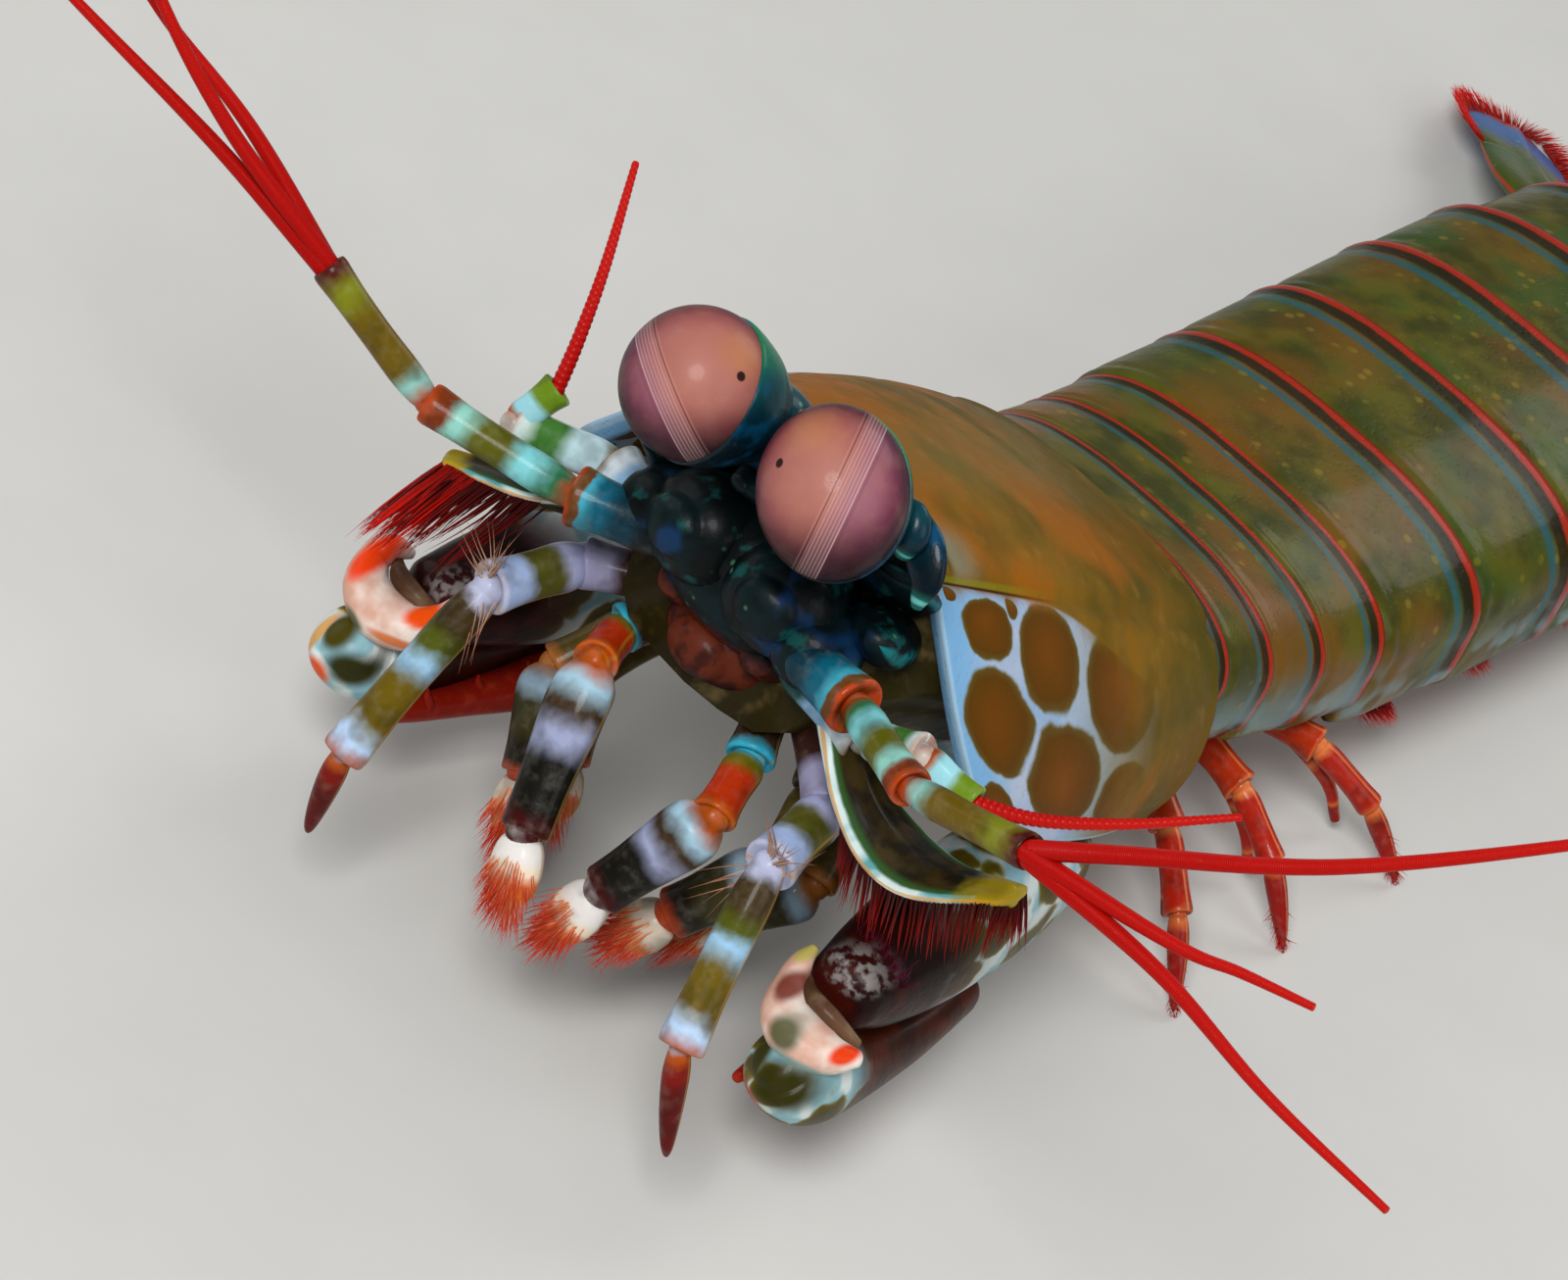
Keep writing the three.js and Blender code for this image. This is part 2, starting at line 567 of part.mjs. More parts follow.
// Pleopods: a stem under each of the first five abdomen rings, with two leaves
function pleopod(ring, sign, grow) {
  const frame = JOINTS[somite(ring.name)];
  const middle = frameAt(frame.origin, ring.pitch);
  const back = -ring.length / 2;
  const drop = -ring.belly;
  const own = (stations) =>
    stations.map(([f, l, u, ...half]) => [at(middle, back + f, l * sign, drop + u), ...half]);
  const leaf = (stations) =>
    blade(resample(own(stations), 3), {
      up: middle.up,
      edge: 0.28,
      lean: middle.up.clone().multiplyScalar(-0.5),
      reach: (i, way) => (i < 1 ? 0 : varied(1.7, i + way)),
      grow,
    });
  const stem = [
    [2.2, 6.2, 1.0, 1.5, 1.1],
    [-0.4, 6.8, -1.8, 1.5, 0.8],
  ];
  const outer = [
    [0.4, 7.4, -1.6, 1.0, 0.6],
    [-2.4, 9.0, -2.4, 2.2, 0.42],
    [-5.0, 9.9, -3.0, 1.3, 0.34],
  ];
  const inner = [
    [0.2, 5.6, -1.8, 1.0, 0.6],
    [-2.4, 4.7, -2.6, 2.0, 0.42],
    [-5.0, 4.3, -3.2, 1.2, 0.34],
  ];
  const root = sweep(own(stem), { up: middle.up, sides: 6, power: 3, blunt: [true, false], grow });
  return fuse([root, leaf(outer), leaf(inner)]);
}

// Walking legs under the last three rings of the thorax, each with a thin outer branch
const LEG = { kneeHeight: 6.4, footSpread: 19.5, foot: 0.62 };
const LEG_SWING = [-5, 0, 5.5]; // how far back each foot stands from its ring
function walkingLeg(index, sign, grow) {
  const ring = SOMITES[index + 1];
  const frame = JOINTS[index + 1];
  const middle = frameAt(frame.origin, ring.pitch);
  const root = at(middle, -ring.length / 2, sign * 6.6, -ring.belly + 1.2);
  const swing = LEG_SWING[index];
  const spot = (out, back, height) => vec(sign * out, root.y + back, height);
  const points = [
    root,
    spot(9.0, swing * 0.1, root.z - 2.4),
    spot(12.6, swing * 0.3, LEG.kneeHeight + 0.4),
    spot(16.4, swing * 0.7, 4.4),
    spot(LEG.footSpread, swing, -0.5),
  ];
  const halves = [[1.5, 1.2], [1.1, 0.95], [0.8, 0.75], [LEG.foot, LEG.foot]];
  const rod = taper(
    [
      spot(9.6, swing * 0.15 + 0.6, root.z - 2.8),
      spot(13.2, swing * 0.4 + 1.8, 3.6),
      spot(14.6, swing * 0.5 + 2.2, 1.2),
    ],
    0.5,
    0.3,
    2,
  );
  const options = { up: vec(0, 1, 0.2).normalize(), sides: 6, grow };
  return fuse([sweep(articles(points, halves), options), sweep(rod, { ...options, sides: 5 })]);
}

// The claw folded under the side of the carapace
const CLAW_ARM = {
  root: [
    [-27, 7.0, -13.4, 1.8, 1.8],
    [-30.5, 10.2, -14.6, 2.0, 2.0],
    [-33.0, 12.0, -15.4, 1.9, 2.1],
  ],
  merus: [
    [-33.8, 12.4, -15.6, 1.6, 1.9],
    [-30.5, 13.0, -16.4, 2.8, 3.2],
    [-25.5, 13.8, -18.0, 3.3, 3.8],
    [-20.5, 14.7, -20.0, 3.1, 3.6],
    [-16.5, 15.3, -21.6, 2.6, 2.8],
    [-14.0, 15.6, -22.3, 2.1, 1.9],
  ],
  propodus: [
    [-10.8, 16.4, -26.3, 1.6, 1.5],
    [-12.6, 16.7, -27.0, 2.5, 2.4],
    [-17.5, 16.4, -26.8, 2.1, 2.1],
    [-23.0, 15.8, -25.4, 1.6, 1.7],
    [-27.6, 15.0, -23.4, 1.3, 1.5],
  ],
  dactyl: [
    [-28.4, 14.2, -23.2, 1.2, 1.4],
    [-27.2, 13.2, -24.5, 1.8, 2.0],
    [-24.6, 13.2, -25.9, 1.4, 1.5],
    [-20.0, 13.6, -27.4, 0.9, 1.0],
    [-15.6, 14.0, -28.6, 0.6, 0.7],
    [-12.8, 14.3, -29.2, 0.3, 0.35],
  ],
};
// The wrist of each side, a crescent from its inner horn round to its outer one
const WRISTS = {
  left: [
    [-13.2, 12.3, -22.0, 0.4, 0.4],
    [-12.3, 12.8, -23.4, 0.9, 0.9],
    [-11.7, 13.7, -24.5, 1.3, 1.5],
    [-11.5, 15.2, -24.9, 1.4, 1.8],
    [-11.7, 16.7, -24.6, 1.1, 1.4],
    [-12.1, 17.8, -23.9, 0.5, 0.6],
  ],
  right: [
    [-13.2, -14.0, -20.9, 0.4, 0.4],
    [-12.3, -14.1, -22.3, 0.8, 0.9],
    [-11.7, -14.9, -23.6, 1.2, 1.5],
    [-11.5, -16.6, -24.1, 1.4, 1.8],
    [-11.8, -18.4, -23.6, 1.2, 1.4],
    [-12.4, -19.2, -22.5, 0.9, 0.9],
    [-13.2, -18.8, -21.5, 0.5, 0.5],
  ],
};
// How far out each claw's front reaches from the places above
const CLAW_SHIFT = { left: -1.0, right: 0.3 };
function clawPlace(side, [f, l, ...rest]) {
  const ahead = THREE.MathUtils.clamp((f + 30) / 15, 0, 1);
  return [f, (l + CLAW_SHIFT[side] * ahead) * SIDES[side], ...rest];
}
const clawPart = (name, side, grow, sides) =>
  sweepIn(HEAD, CLAW_ARM[name].map((row) => clawPlace(side, row)), { sides, grow });
// Teeth of the claw's finger, from the root to the tip, as places of the left side
const FINGER_TEETH = [0, 1, 2].map((i) => {
  const [f, l, u] = [-23.6 + 3.6 * i, 13.4 + 0.25 * i, -25.6 - 1.1 * i];
  return [[f, l, u], [f + 0.6, l + 0.2, u + 0.8]];
});
const clawTooth = (tooth, side, grow) => {
  const [a, b] = inFrame(HEAD, tooth.map((place) => clawPlace(side, place)));
  return spine(a, b, { half: 0.4, normal: HEAD.left, sides: 5, sink: 1, grow });
};

// Feelers, mouth limbs and eyes, as places [forward, left, up] from the middle of the eyes. An
// eye's shift is its place from its own spot on that line, its gaze points to the front and its
// rise is the way that it is tall. scaleTilt leans the antennal scale's face to the front, in
// degrees.
const POSE = {
  left: {
    eye: { shift: [0, -0.17, 0.21], gaze: [0.88, -0.22, 0.42], rise: [0, -0.634, 0.774] },
    antennule: [[-7.2, 3.6, -8.8], [-5.5, 9.6, -8.5], [-2.5, 15.3, -8.6], [1, 22.9, -5.8]],
    flagella: [
      [[1, 22.7, -5.8], [2.6, 27.0, -2.4], [3.2, 35.0, 3.8], [3.0, 43.0, 12.0], [1.5, 48.0, 18.0]],
      [[1, 22.7, -6.1], [3.0, 31.5, -5.2], [4.2, 39.0, -5.6], [5.2, 46.5, -5.4]],
      [[1.2, 22.7, -5.9], [3.0, 31.3, -3.8], [3.2, 34.6, -2.6], [3.0, 38.0, -1.6]],
    ],
    antenna: [[-8.0, 4.4, -9.6], [-8.2, 9.8, -10.2], [-6.0, 13.6, -8.2], [-6.4, 16.8, -8.4]],
    whip: [[-6.4, 16.6, -8.4], [-7.6, 19.4, -7.2], [-9.6, 22.4, -5.0], [-12.4, 25.6, -2.0]],
    scale: [[-8.3, 7.4, -10.3], [-8.6, 11.6, -12.8], [-8.0, 16.4, -13.2], [-7.4, 20.6, -10.8]],
    scaleTilt: 15,
    maxilliped1: [
      [-13.4, 4.4, -12.4], [-10.6, 9.6, -14.9], [-6, 10.6, -17.5], [-4, 13.2, -26.6], [-6, 15.2, -32],
    ],
    maxilliped3: [
      [-13.2, 2.6, -12.4], [-10.4, 4.8, -15.8], [-8, 6, -18.4], [-7.4, 3.8, -25], [-7.8, 2.8, -28.6],
    ],
  },
  right: {
    eye: { shift: [0, 0.26, -0.32], gaze: [0.86, -0.48, 0.05], rise: [0, 0, 1] },
    antennule: [[-7.2, -3.6, -8.8], [-5.5, -8.8, -10.3], [-2.5, -16.7, -10.9], [1, -23.5, -8.1]],
    flagella: [
      [[1, -23.3, -8.0], [3.2, -31.1, -5.6], [4.6, -38.0, -2.4], [5.6, -45.0, 2.4]],
      [[1, -23.3, -8.4], [2.4, -31.4, -7.0], [4.0, -39.8, -6.0], [5.6, -48.0, -5.0]],
      [[0.7, -23.3, -8.2], [1.6, -31.0, -5.4], [2.4, -38.6, -3.8], [3.0, -46.0, -1.4]],
    ],
    antenna: [[-8.0, -4.4, -9.4], [-8.8, -9.4, -8.9], [-6, -13.9, -9.9], [-6.6, -13.3, -7.2]],
    whip: [[-6.6, -13.3, -7.6], [-7.2, -14.2, -5.0], [-8.6, -16.0, -1.6], [-11.0, -19.0, 2.6]],
    scale: [[-8.5, -7.0, -9.8], [-8.2, -10.6, -11.6], [-6.9, -13.8, -12.4], [-6.0, -16.6, -13.2]],
    scaleTilt: -6,
    maxilliped1: [
      [-13.4, -4.4, -12.4], [-10.8, -8.8, -14.4], [-6, -9.9, -17], [-4, -10.3, -28], [-6, -10.4, -33.2],
    ],
    maxilliped3: [
      [-13.2, -3.4, -12.4], [-10.4, -4.8, -15.4], [-7, -3.4, -16.4], [-5, -0.3, -24.6], [-5, 1.2, -28],
    ],
  },
};
// The last two pairs of mouth limbs, folded behind the others
const REAR_MAXILLIPEDS = {
  maxilliped_4: [
    [-18, 3.6, -12.4], [-15.6, 6.6, -16.4], [-13.6, 8, -20.4], [-12.6, 5.4, -25.4], [-12.4, 4, -28.4],
  ],
  maxilliped_5: [
    [-23, 4, -12.4], [-21, 7.2, -17], [-18.6, 8.4, -21.2], [-17.2, 6, -25.2], [-16.8, 4.6, -28],
  ],
};
const HALVES = {
  antennule: [[1.45], [1.0], [0.85]],
  antenna: [[1.4, 1.2], [1.1, 0.75], [0.9, 0.6]],
  maxilliped1: [[1.25], [1.32], [1.12], [0.68]],
  maxilliped3: [[1.2], [1.1], [1.35, 1.1], [1.2, 0.9]],
};
const limb = (places, halves, grow, sides = 7) =>
  sweep(articles(inFrame(HEAD, places), halves), { up: HEAD.forward, sides, grow });
// A mouth limb whose last article ends in a brush; ways are the bristles' places across it
function brushed(places, ways, grow, sides) {
  const [wrist, end] = inFrame(HEAD, places.slice(-2));
  const along = end.clone().sub(wrist).normalize();
  const across = along.clone().cross(HEAD.forward).normalize();
  const brush = ways.map((way) => {
    const root = end.clone().addScaledVector(across, way * 0.6);
    const tip = root.clone().addScaledVector(along, 2.6).addScaledVector(across, way * 0.7);
    return spine(root, tip, { half: 0.36, normal: HEAD.forward, sink: 0.9, grow });
  });
  return fuse([limb(places, HALVES.maxilliped3, grow, sides), ...brush]);
}
// The second antenna: its last article folds back on the ones before it
function antenna({ antenna: places, whip }, grow) {
  return fuse([
    limb(places.slice(0, 3), HALVES.antenna.slice(0, 2), grow),
    limb(places.slice(2), HALVES.antenna.slice(2), grow),
    sweep(taper(inFrame(HEAD, whip), 0.42, 0.25, 4), { sides: 6, grow }),
  ]);
}
// The antennal scale: a flat oval blade with a fringe round its outer half
function antennalScale({ scale, scaleTilt }, grow) {
  const up = HEAD.up.clone().multiplyScalar(Math.cos(rad(scaleTilt)));
  up.addScaledVector(HEAD.forward, Math.sin(rad(scaleTilt)));
  const widths = [[0.9, 0.8], [2.1, 0.5], [2.9, 0.45], [1.4, 0.4]];
  const curve = new THREE.CatmullRomCurve3(inFrame(HEAD, scale));
  const stations = widths.map((half, i) => [curve.getPoint(i / (widths.length - 1)), ...half]);
  return blade(resample(stations, 8), {
    up,
    edge: 0.3,
    slant: 0.7,
    lean: HEAD.up.clone().multiplyScalar(-1),
    reach: (i, way) => (i < 4 ? 0 : varied(6, i + way)),
    grow,
  });
}

for (const [side, sign] of Object.entries(SIDES)) {
  const pose = POSE[side];
  const mirror = (places) => places.map(([f, l, u]) => [f, l * sign, u]);
  const { shift, gaze: look, rise } = pose.eye;
  const centre = at(HEAD, shift[0], EYE_SPREAD * sign + shift[1], shift[2]);
  const directions = inFrame({ ...HEAD, origin: vec(0, 0, 0) }, [look, rise]);
  const [gaze, eyeUp] = directions.map((p) => p.normalize());
  const along = (reach, ...half) => [centre.clone().addScaledVector(gaze, reach), ...half];

  // The eye: a ball whose back sits in the cup of its stalk
  piece("eye_" + side, CORNEA, (grow) => {
    const back = Math.acos(EYE.cup / EYE.half);
    const stations = Array.from({ length: 8 }, (_, k) => {
      const turn = back + (0.2 - back) * (k / 7);
      const out = Math.sin(turn);
      return along(EYE.half * Math.cos(turn), EYE.half * out, EYE.tall * out);
    });
    return sweep(stations, { up: eyeUp, sides: 18, blunt: [true, true], grow });
  });
  piece("eyestalk_" + side, STALK, (grow) => {
    const [root] = inFrame(HEAD, mirror([EYE.stalkRoot]));
    const stations = [
      [root, 1.5, 1.6],
      [root.clone().lerp(along(-5.4)[0], 0.45), 1.6, 1.7],
      along(-4.6, 2.1, 2.3),
      along(-2.9, 3.0, 3.2),
      along(EYE.cup - GAP, 3.4, 3.65),
    ];
    return sweep(stations, { up: eyeUp, sides: 12, blunt: [true, true], grow });
  });

  piece("antennule_" + side, LIMB, (grow) => limb(pose.antennule, HALVES.antennule, grow));
  piece("flagella_" + side, RED, (grow) => {
    const threads = pose.flagella.map((places) =>
      sweep(taper(inFrame(HEAD, places), 0.36, 0.25, 5), { sides: 5, grow }),
    );
    return fuse(threads);
  });
  piece("antenna_" + side, LIMB, (grow) => antenna(pose, grow));
  piece("antennal_scale_" + side, LIMB, (grow) => antennalScale(pose, grow));

  piece("maxilliped_1_" + side, LIMB, (grow) => limb(pose.maxilliped1, HALVES.maxilliped1, grow));
  piece("maxilliped_3_" + side, LIMB, (grow) => brushed(pose.maxilliped3, [-1, -0.35, 0.35, 1], grow, 7));
  for (const [name, places] of Object.entries(REAR_MAXILLIPEDS)) {
    piece(name + "_" + side, LIMB, (grow) => brushed(mirror(places), [-0.6, 0.6], grow, 6));
  }

  piece("claw_arm_" + side, CLAW, (grow) =>
    fuse([clawPart("root", side, grow, 8), clawPart("merus", side, grow, 10)]),
  );
  piece("claw_wrist_" + side, CLAW, (grow) =>
    sweepIn(HEAD, WRISTS[side], { up: HEAD.forward, sides: 10, grow }),
  );
  piece("claw_hand_" + side, CLAW, (grow) => clawPart("propodus", side, grow, 10));
  piece("claw_finger_" + side, CLAW, (grow) => {
    const teeth = FINGER_TEETH.map((tooth) => clawTooth(tooth, side, grow));
    return fuse([clawPart("dactyl", side, grow, 8), ...teeth]);
  });

  for (const index of [0, 1, 2]) {
    piece("walking_leg_" + (index + 1) + "_" + side, RED, (grow) => walkingLeg(index, sign, grow));
  }
  for (const ring of SOMITES.filter((r) => /^abdomen_[1-5]$/.test(r.name))) {
    const number = ring.name.split("_")[1];
    piece("pleopod_" + number + "_" + side, RED, (grow) => pleopod(ring, sign, grow));
  }
  piece("uropod_" + side, SHELL, (grow) => uropod(sign, grow));
}

// The origin is on the floor, under the middle of the animal
animal.position.y = -ORIGIN_BACK;

export default animal;
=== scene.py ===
"""A life-size museum model of a peacock mantis shrimp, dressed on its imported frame.

The animal faces -Y with +Z up and stands on its walking legs and tail fan, its forebody
raised. Sizes are millimetres in the animal's own frames, and a mesh is made in metres.
"""

from __future__ import annotations

import logging
import math
from collections.abc import Callable, Sequence
from dataclasses import dataclass, field
from enum import Enum

import bpy
import numpy as np
from mathutils import Matrix

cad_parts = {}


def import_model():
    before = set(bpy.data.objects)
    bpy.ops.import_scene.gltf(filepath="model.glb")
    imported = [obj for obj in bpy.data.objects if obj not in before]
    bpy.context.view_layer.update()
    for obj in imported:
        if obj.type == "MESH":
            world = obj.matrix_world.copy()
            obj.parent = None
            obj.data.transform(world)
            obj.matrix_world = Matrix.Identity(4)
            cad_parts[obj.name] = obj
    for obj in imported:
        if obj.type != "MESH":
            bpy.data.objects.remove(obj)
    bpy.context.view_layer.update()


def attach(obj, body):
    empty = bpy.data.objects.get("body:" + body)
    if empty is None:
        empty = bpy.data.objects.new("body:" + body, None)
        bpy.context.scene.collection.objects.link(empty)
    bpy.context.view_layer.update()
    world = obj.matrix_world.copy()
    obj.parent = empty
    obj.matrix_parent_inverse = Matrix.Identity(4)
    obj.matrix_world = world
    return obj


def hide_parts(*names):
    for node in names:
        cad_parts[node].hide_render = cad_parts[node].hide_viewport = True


LOG = logging.getLogger("mantis_shrimp")
Array = np.ndarray
Row = Sequence[float]
Rows = Sequence[Row]
Span = tuple[float, float]
Bands = tuple[tuple[float, str], ...]

MM = 0.001
HEAD_PITCH = 22.0  # degrees that the carapace rises towards the head
EYE_HEIGHT = 38.4  # the line through both eyes, above the floor
EYE_SPREAD = 4.6  # from the middle plane to each eye
AXIS_DROP = 7.0  # the body's axis below the line of the eyes
ORIGIN_BACK = 63.83  # from the eyes to the middle of the animal
CARAPACE_FRONT = -8.0
CARAPACE_LENGTH = 32.0
CARAPACE_GIRTH = 22.0  # from the middle of the carapace down to its margin, over the surface
TAIL_PITCH = 21.0


class Side(Enum):
    """The animal's two sides, each with its direction along +X."""

    LEFT = 1
    RIGHT = -1

    @property
    def word(self) -> str:
        """The side's word in the names of nodes and pieces."""
        return self.name.lower()


@dataclass(frozen=True)
class Frame:
    """A point of the animal with its own forward, left and up directions."""

    origin: Row
    pitch: float

    @property
    def axes(self) -> Array:
        """Forward, left and up, as the rows of a matrix."""
        c, s = math.cos(math.radians(self.pitch)), math.sin(math.radians(self.pitch))
        return np.array([[0.0, -c, s], [1.0, 0.0, 0.0], [0.0, s, c]])

    @property
    def forward(self) -> Array:
        """The direction to the head."""
        return self.axes[0]

    @property
    def left(self) -> Array:
        """The direction to the animal's left."""
        return self.axes[1]

    @property
    def up(self) -> Array:
        """The direction to the back's upper side."""
        return self.axes[2]

    def way(self, direction: Row) -> Array:
        """Turns a direction of this frame into one of the animal."""
        return np.asarray(direction, float) @ self.axes

    def at(self, places: Row | Rows | Array, sign: int = 1) -> Array:
        """Turns places of this frame into points of the animal.

        Args:
            places: Rows of forward, left and up, and any further values.
            sign: -1 to mirror the places to the right.

        Returns:
            The same rows, with x, y and z first and the further values unchanged.
        """
        rows = np.array(places, float)
        rows[..., 1] *= sign
        points = np.asarray(self.origin) + rows[..., :3] @ self.axes
        return np.concatenate([points, rows[..., 3:]], axis=-1)


@dataclass(frozen=True)
class Somite:
    """The sizes of one body ring behind the carapace."""

    name: str
    length: float
    pitch: float
    half: float
    back: float
    side: float
    belly: float


SOMITES = (
    Somite("thorax_5", 4, 20, 11.0, 4.7, 3.6, 5.6),
    Somite("thorax_6", 5, 17, 11.4, 4.8, 3.7, 5.2),
    Somite("thorax_7", 5.5, 12, 11.8, 5.0, 3.9, 4.9),
    Somite("thorax_8", 6, 7, 12.2, 5.3, 4.1, 4.6),
    Somite("abdomen_1", 9.5, 3, 12.9, 5.7, 4.9, 4.2),
    Somite("abdomen_2", 10, 0, 13.3, 6.0, 5.2, 4.2),
    Somite("abdomen_3", 10.5, 0, 13.6, 6.2, 5.3, 4.2),
    Somite("abdomen_4", 10.5, 2, 13.8, 6.3, 5.2, 4.1),
    Somite("abdomen_5", 11, 6, 13.6, 6.2, 4.9, 3.9),
    Somite("abdomen_6", 8, 11, 12.3, 5.4, 3.9, 3.4),
)
HEAD = Frame((0.0, -ORIGIN_BACK, EYE_HEIGHT), HEAD_PITCH)
AXIS = Frame(tuple(HEAD.at([0, 0, -AXIS_DROP])), HEAD_PITCH)


def body_joints() -> list[Frame]:
    """Works out the body's joints from the front to the back.

    Returns:
        Each ring's front joint in order, and the telson's joint last.
    """
    joints: list[Frame] = []
    point = AXIS.at([CARAPACE_FRONT - CARAPACE_LENGTH, 0, 0])
    before = HEAD_PITCH
    for pitch, length in [(ring.pitch, ring.length) for ring in SOMITES] + [(TAIL_PITCH, 0.0)]:
        joints.append(Frame(tuple(point), (before + pitch) / 2))
        point = Frame(tuple(point), pitch).at([-length, 0, 0])
        before = pitch
    return joints


JOINTS = body_joints()
TAIL = Frame(JOINTS[-1].origin, TAIL_PITCH)


def unit(vectors: Array) -> Array:
    """Vectors of length one."""
    return vectors / np.linalg.norm(vectors, axis=-1, keepdims=True)


def smooth(rows: Rows | Array, steps: int) -> Array:
    """Passes a smooth curve through rows of values.

    Args:
        rows: The rows.
        steps: How many steps lie between two of them.

    Returns:
        The rows of the curve, those given among them.
    """
    v = np.asarray(rows, float)
    ends = np.vstack([2 * v[0] - v[1], v, 2 * v[-1] - v[-2]])
    t = np.linspace(0, 1, steps, endpoint=False)[:, None]
    parts = []
    for a, b, c, d in zip(ends[:-3], ends[1:-2], ends[2:-1], ends[3:]):
        cubic = (3 * b - a - 3 * c + d) * t**3
        parts.append(0.5 * (2 * b + (c - a) * t + (2 * a - 5 * b + 4 * c - d) * t**2 + cubic))
    return np.vstack([*parts, v[-1:]])


def bump(values: Array | float, centre: float, width: float) -> Array:
    """A smooth hump of height one, as wide as asked, over values."""
    return np.exp(-(((np.asarray(values) - centre) / width) ** 2))


def outline(sides: int, power: float = 2.0, rib: float = 0.0) -> Array:
    """Draws the section of a limb or blade.

    Args:
        sides: How many points the section has.
        power: 2 for an ellipse, more for a squarer section.
        rib: How far a ridge stands out along the middle, as a share of the thickness.

    Returns:
        Points across and through the section, each from -1 to 1.
    """
    turn = (np.arange(sides) + 0.5) / sides * 2 * math.pi
    c, s = np.cos(turn), np.sin(turn)
    x = np.sign(c) * np.abs(c) ** (2 / power)
    y = np.sign(s) * np.abs(s) ** (2 / power) * (1 + rib * bump(x, 0, 0.2))
    return np.stack([x, y], axis=-1)


def rings_along(points: Array, halves: Array, up: Array, shape: Array, tangent: Array | None = None) -> Array:
    """Sets a section at every point of a path.

    Args:
        points: The path.
        halves: The half width and half thickness at each point.
        up: The direction that the section's thickness leans to.
        shape: The section's outline.
        tangent: One direction for all the path, or the path's own.

    Returns:
        One ring of points for each point of the path.
    """
    if tangent is None:
        tangent = unit(np.gradient(points, axis=0))
    side = unit(np.cross(tangent, up))
    lift = np.cross(side, tangent)
    across = side[:, None, :] * (halves[:, 0:1] * shape[:, 0])[..., None]
    through = lift[:, None, :] * (halves[:, 1:2] * shape[:, 1])[..., None]
    return points[:, None, :] + across + through


def rounded(rows: Array, reach: float, steps: int = 5) -> Array:
    """Closes both ends of a path of stations with round caps.

    Args:
        rows: Stations of x, y, z, half width and half thickness.
        reach: How far a cap stands out, as a share of the thinner half.
        steps: How many rings make a cap.

    Returns:
        The stations with those of the caps added.
    """
    turn = np.linspace(0, math.pi / 2, steps + 1)[1:, None]
    caps = []
    for end, inner in ((rows[0], rows[1]), (rows[-1], rows[-2])):
        away = unit(end[:3] - inner[:3]) * reach * min(end[3:5])
        caps.append(np.hstack([end[:3] + np.sin(turn) * away, end[3:5] * np.maximum(np.cos(turn), 0.03)]))
    return np.vstack([caps[0][::-1], rows, caps[1]])


def lattice(rows: int, cols: int, u: Array, around: Array) -> tuple[Array, Array]:
    """Makes the faces of rings that close on themselves.

    Args:
        rows: How many rings there are.
        cols: How many points a ring has.
        u: The map's value at each ring.
        around: The map's values round a ring, with the closing one last.

    Returns:
        The faces, and the map's values at their corners.
    """
    i, j = (grid.ravel() for grid in np.mgrid[0 : rows - 1, 0:cols])
    k = (j + 1) % cols
    quads = np.stack([i * cols + j, i * cols + k, (i + 1) * cols + k, (i + 1) * cols + j], -1)
    corners = ((i, j), (i, j + 1), (i + 1, j + 1), (i + 1, j))
    return quads, np.stack([np.stack([u[a], around[b]], -1) for a, b in corners], 1)


def link(name: str, data: bpy.types.ID) -> bpy.types.Object:
    """Puts an object with its data into the scene."""
    piece = bpy.data.objects.new(name, data)
    bpy.context.scene.collection.objects.link(piece)
    return piece


def settle(piece: bpy.types.Object, node: str) -> None:
    """Hands a finished piece to the frame.

    Args:
        piece: The piece.
        node: The node that it stands for.
    """
    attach(piece, "root")
    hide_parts(node)
    LOG.info("%s: %d faces", piece.name, len(piece.data.polygons))


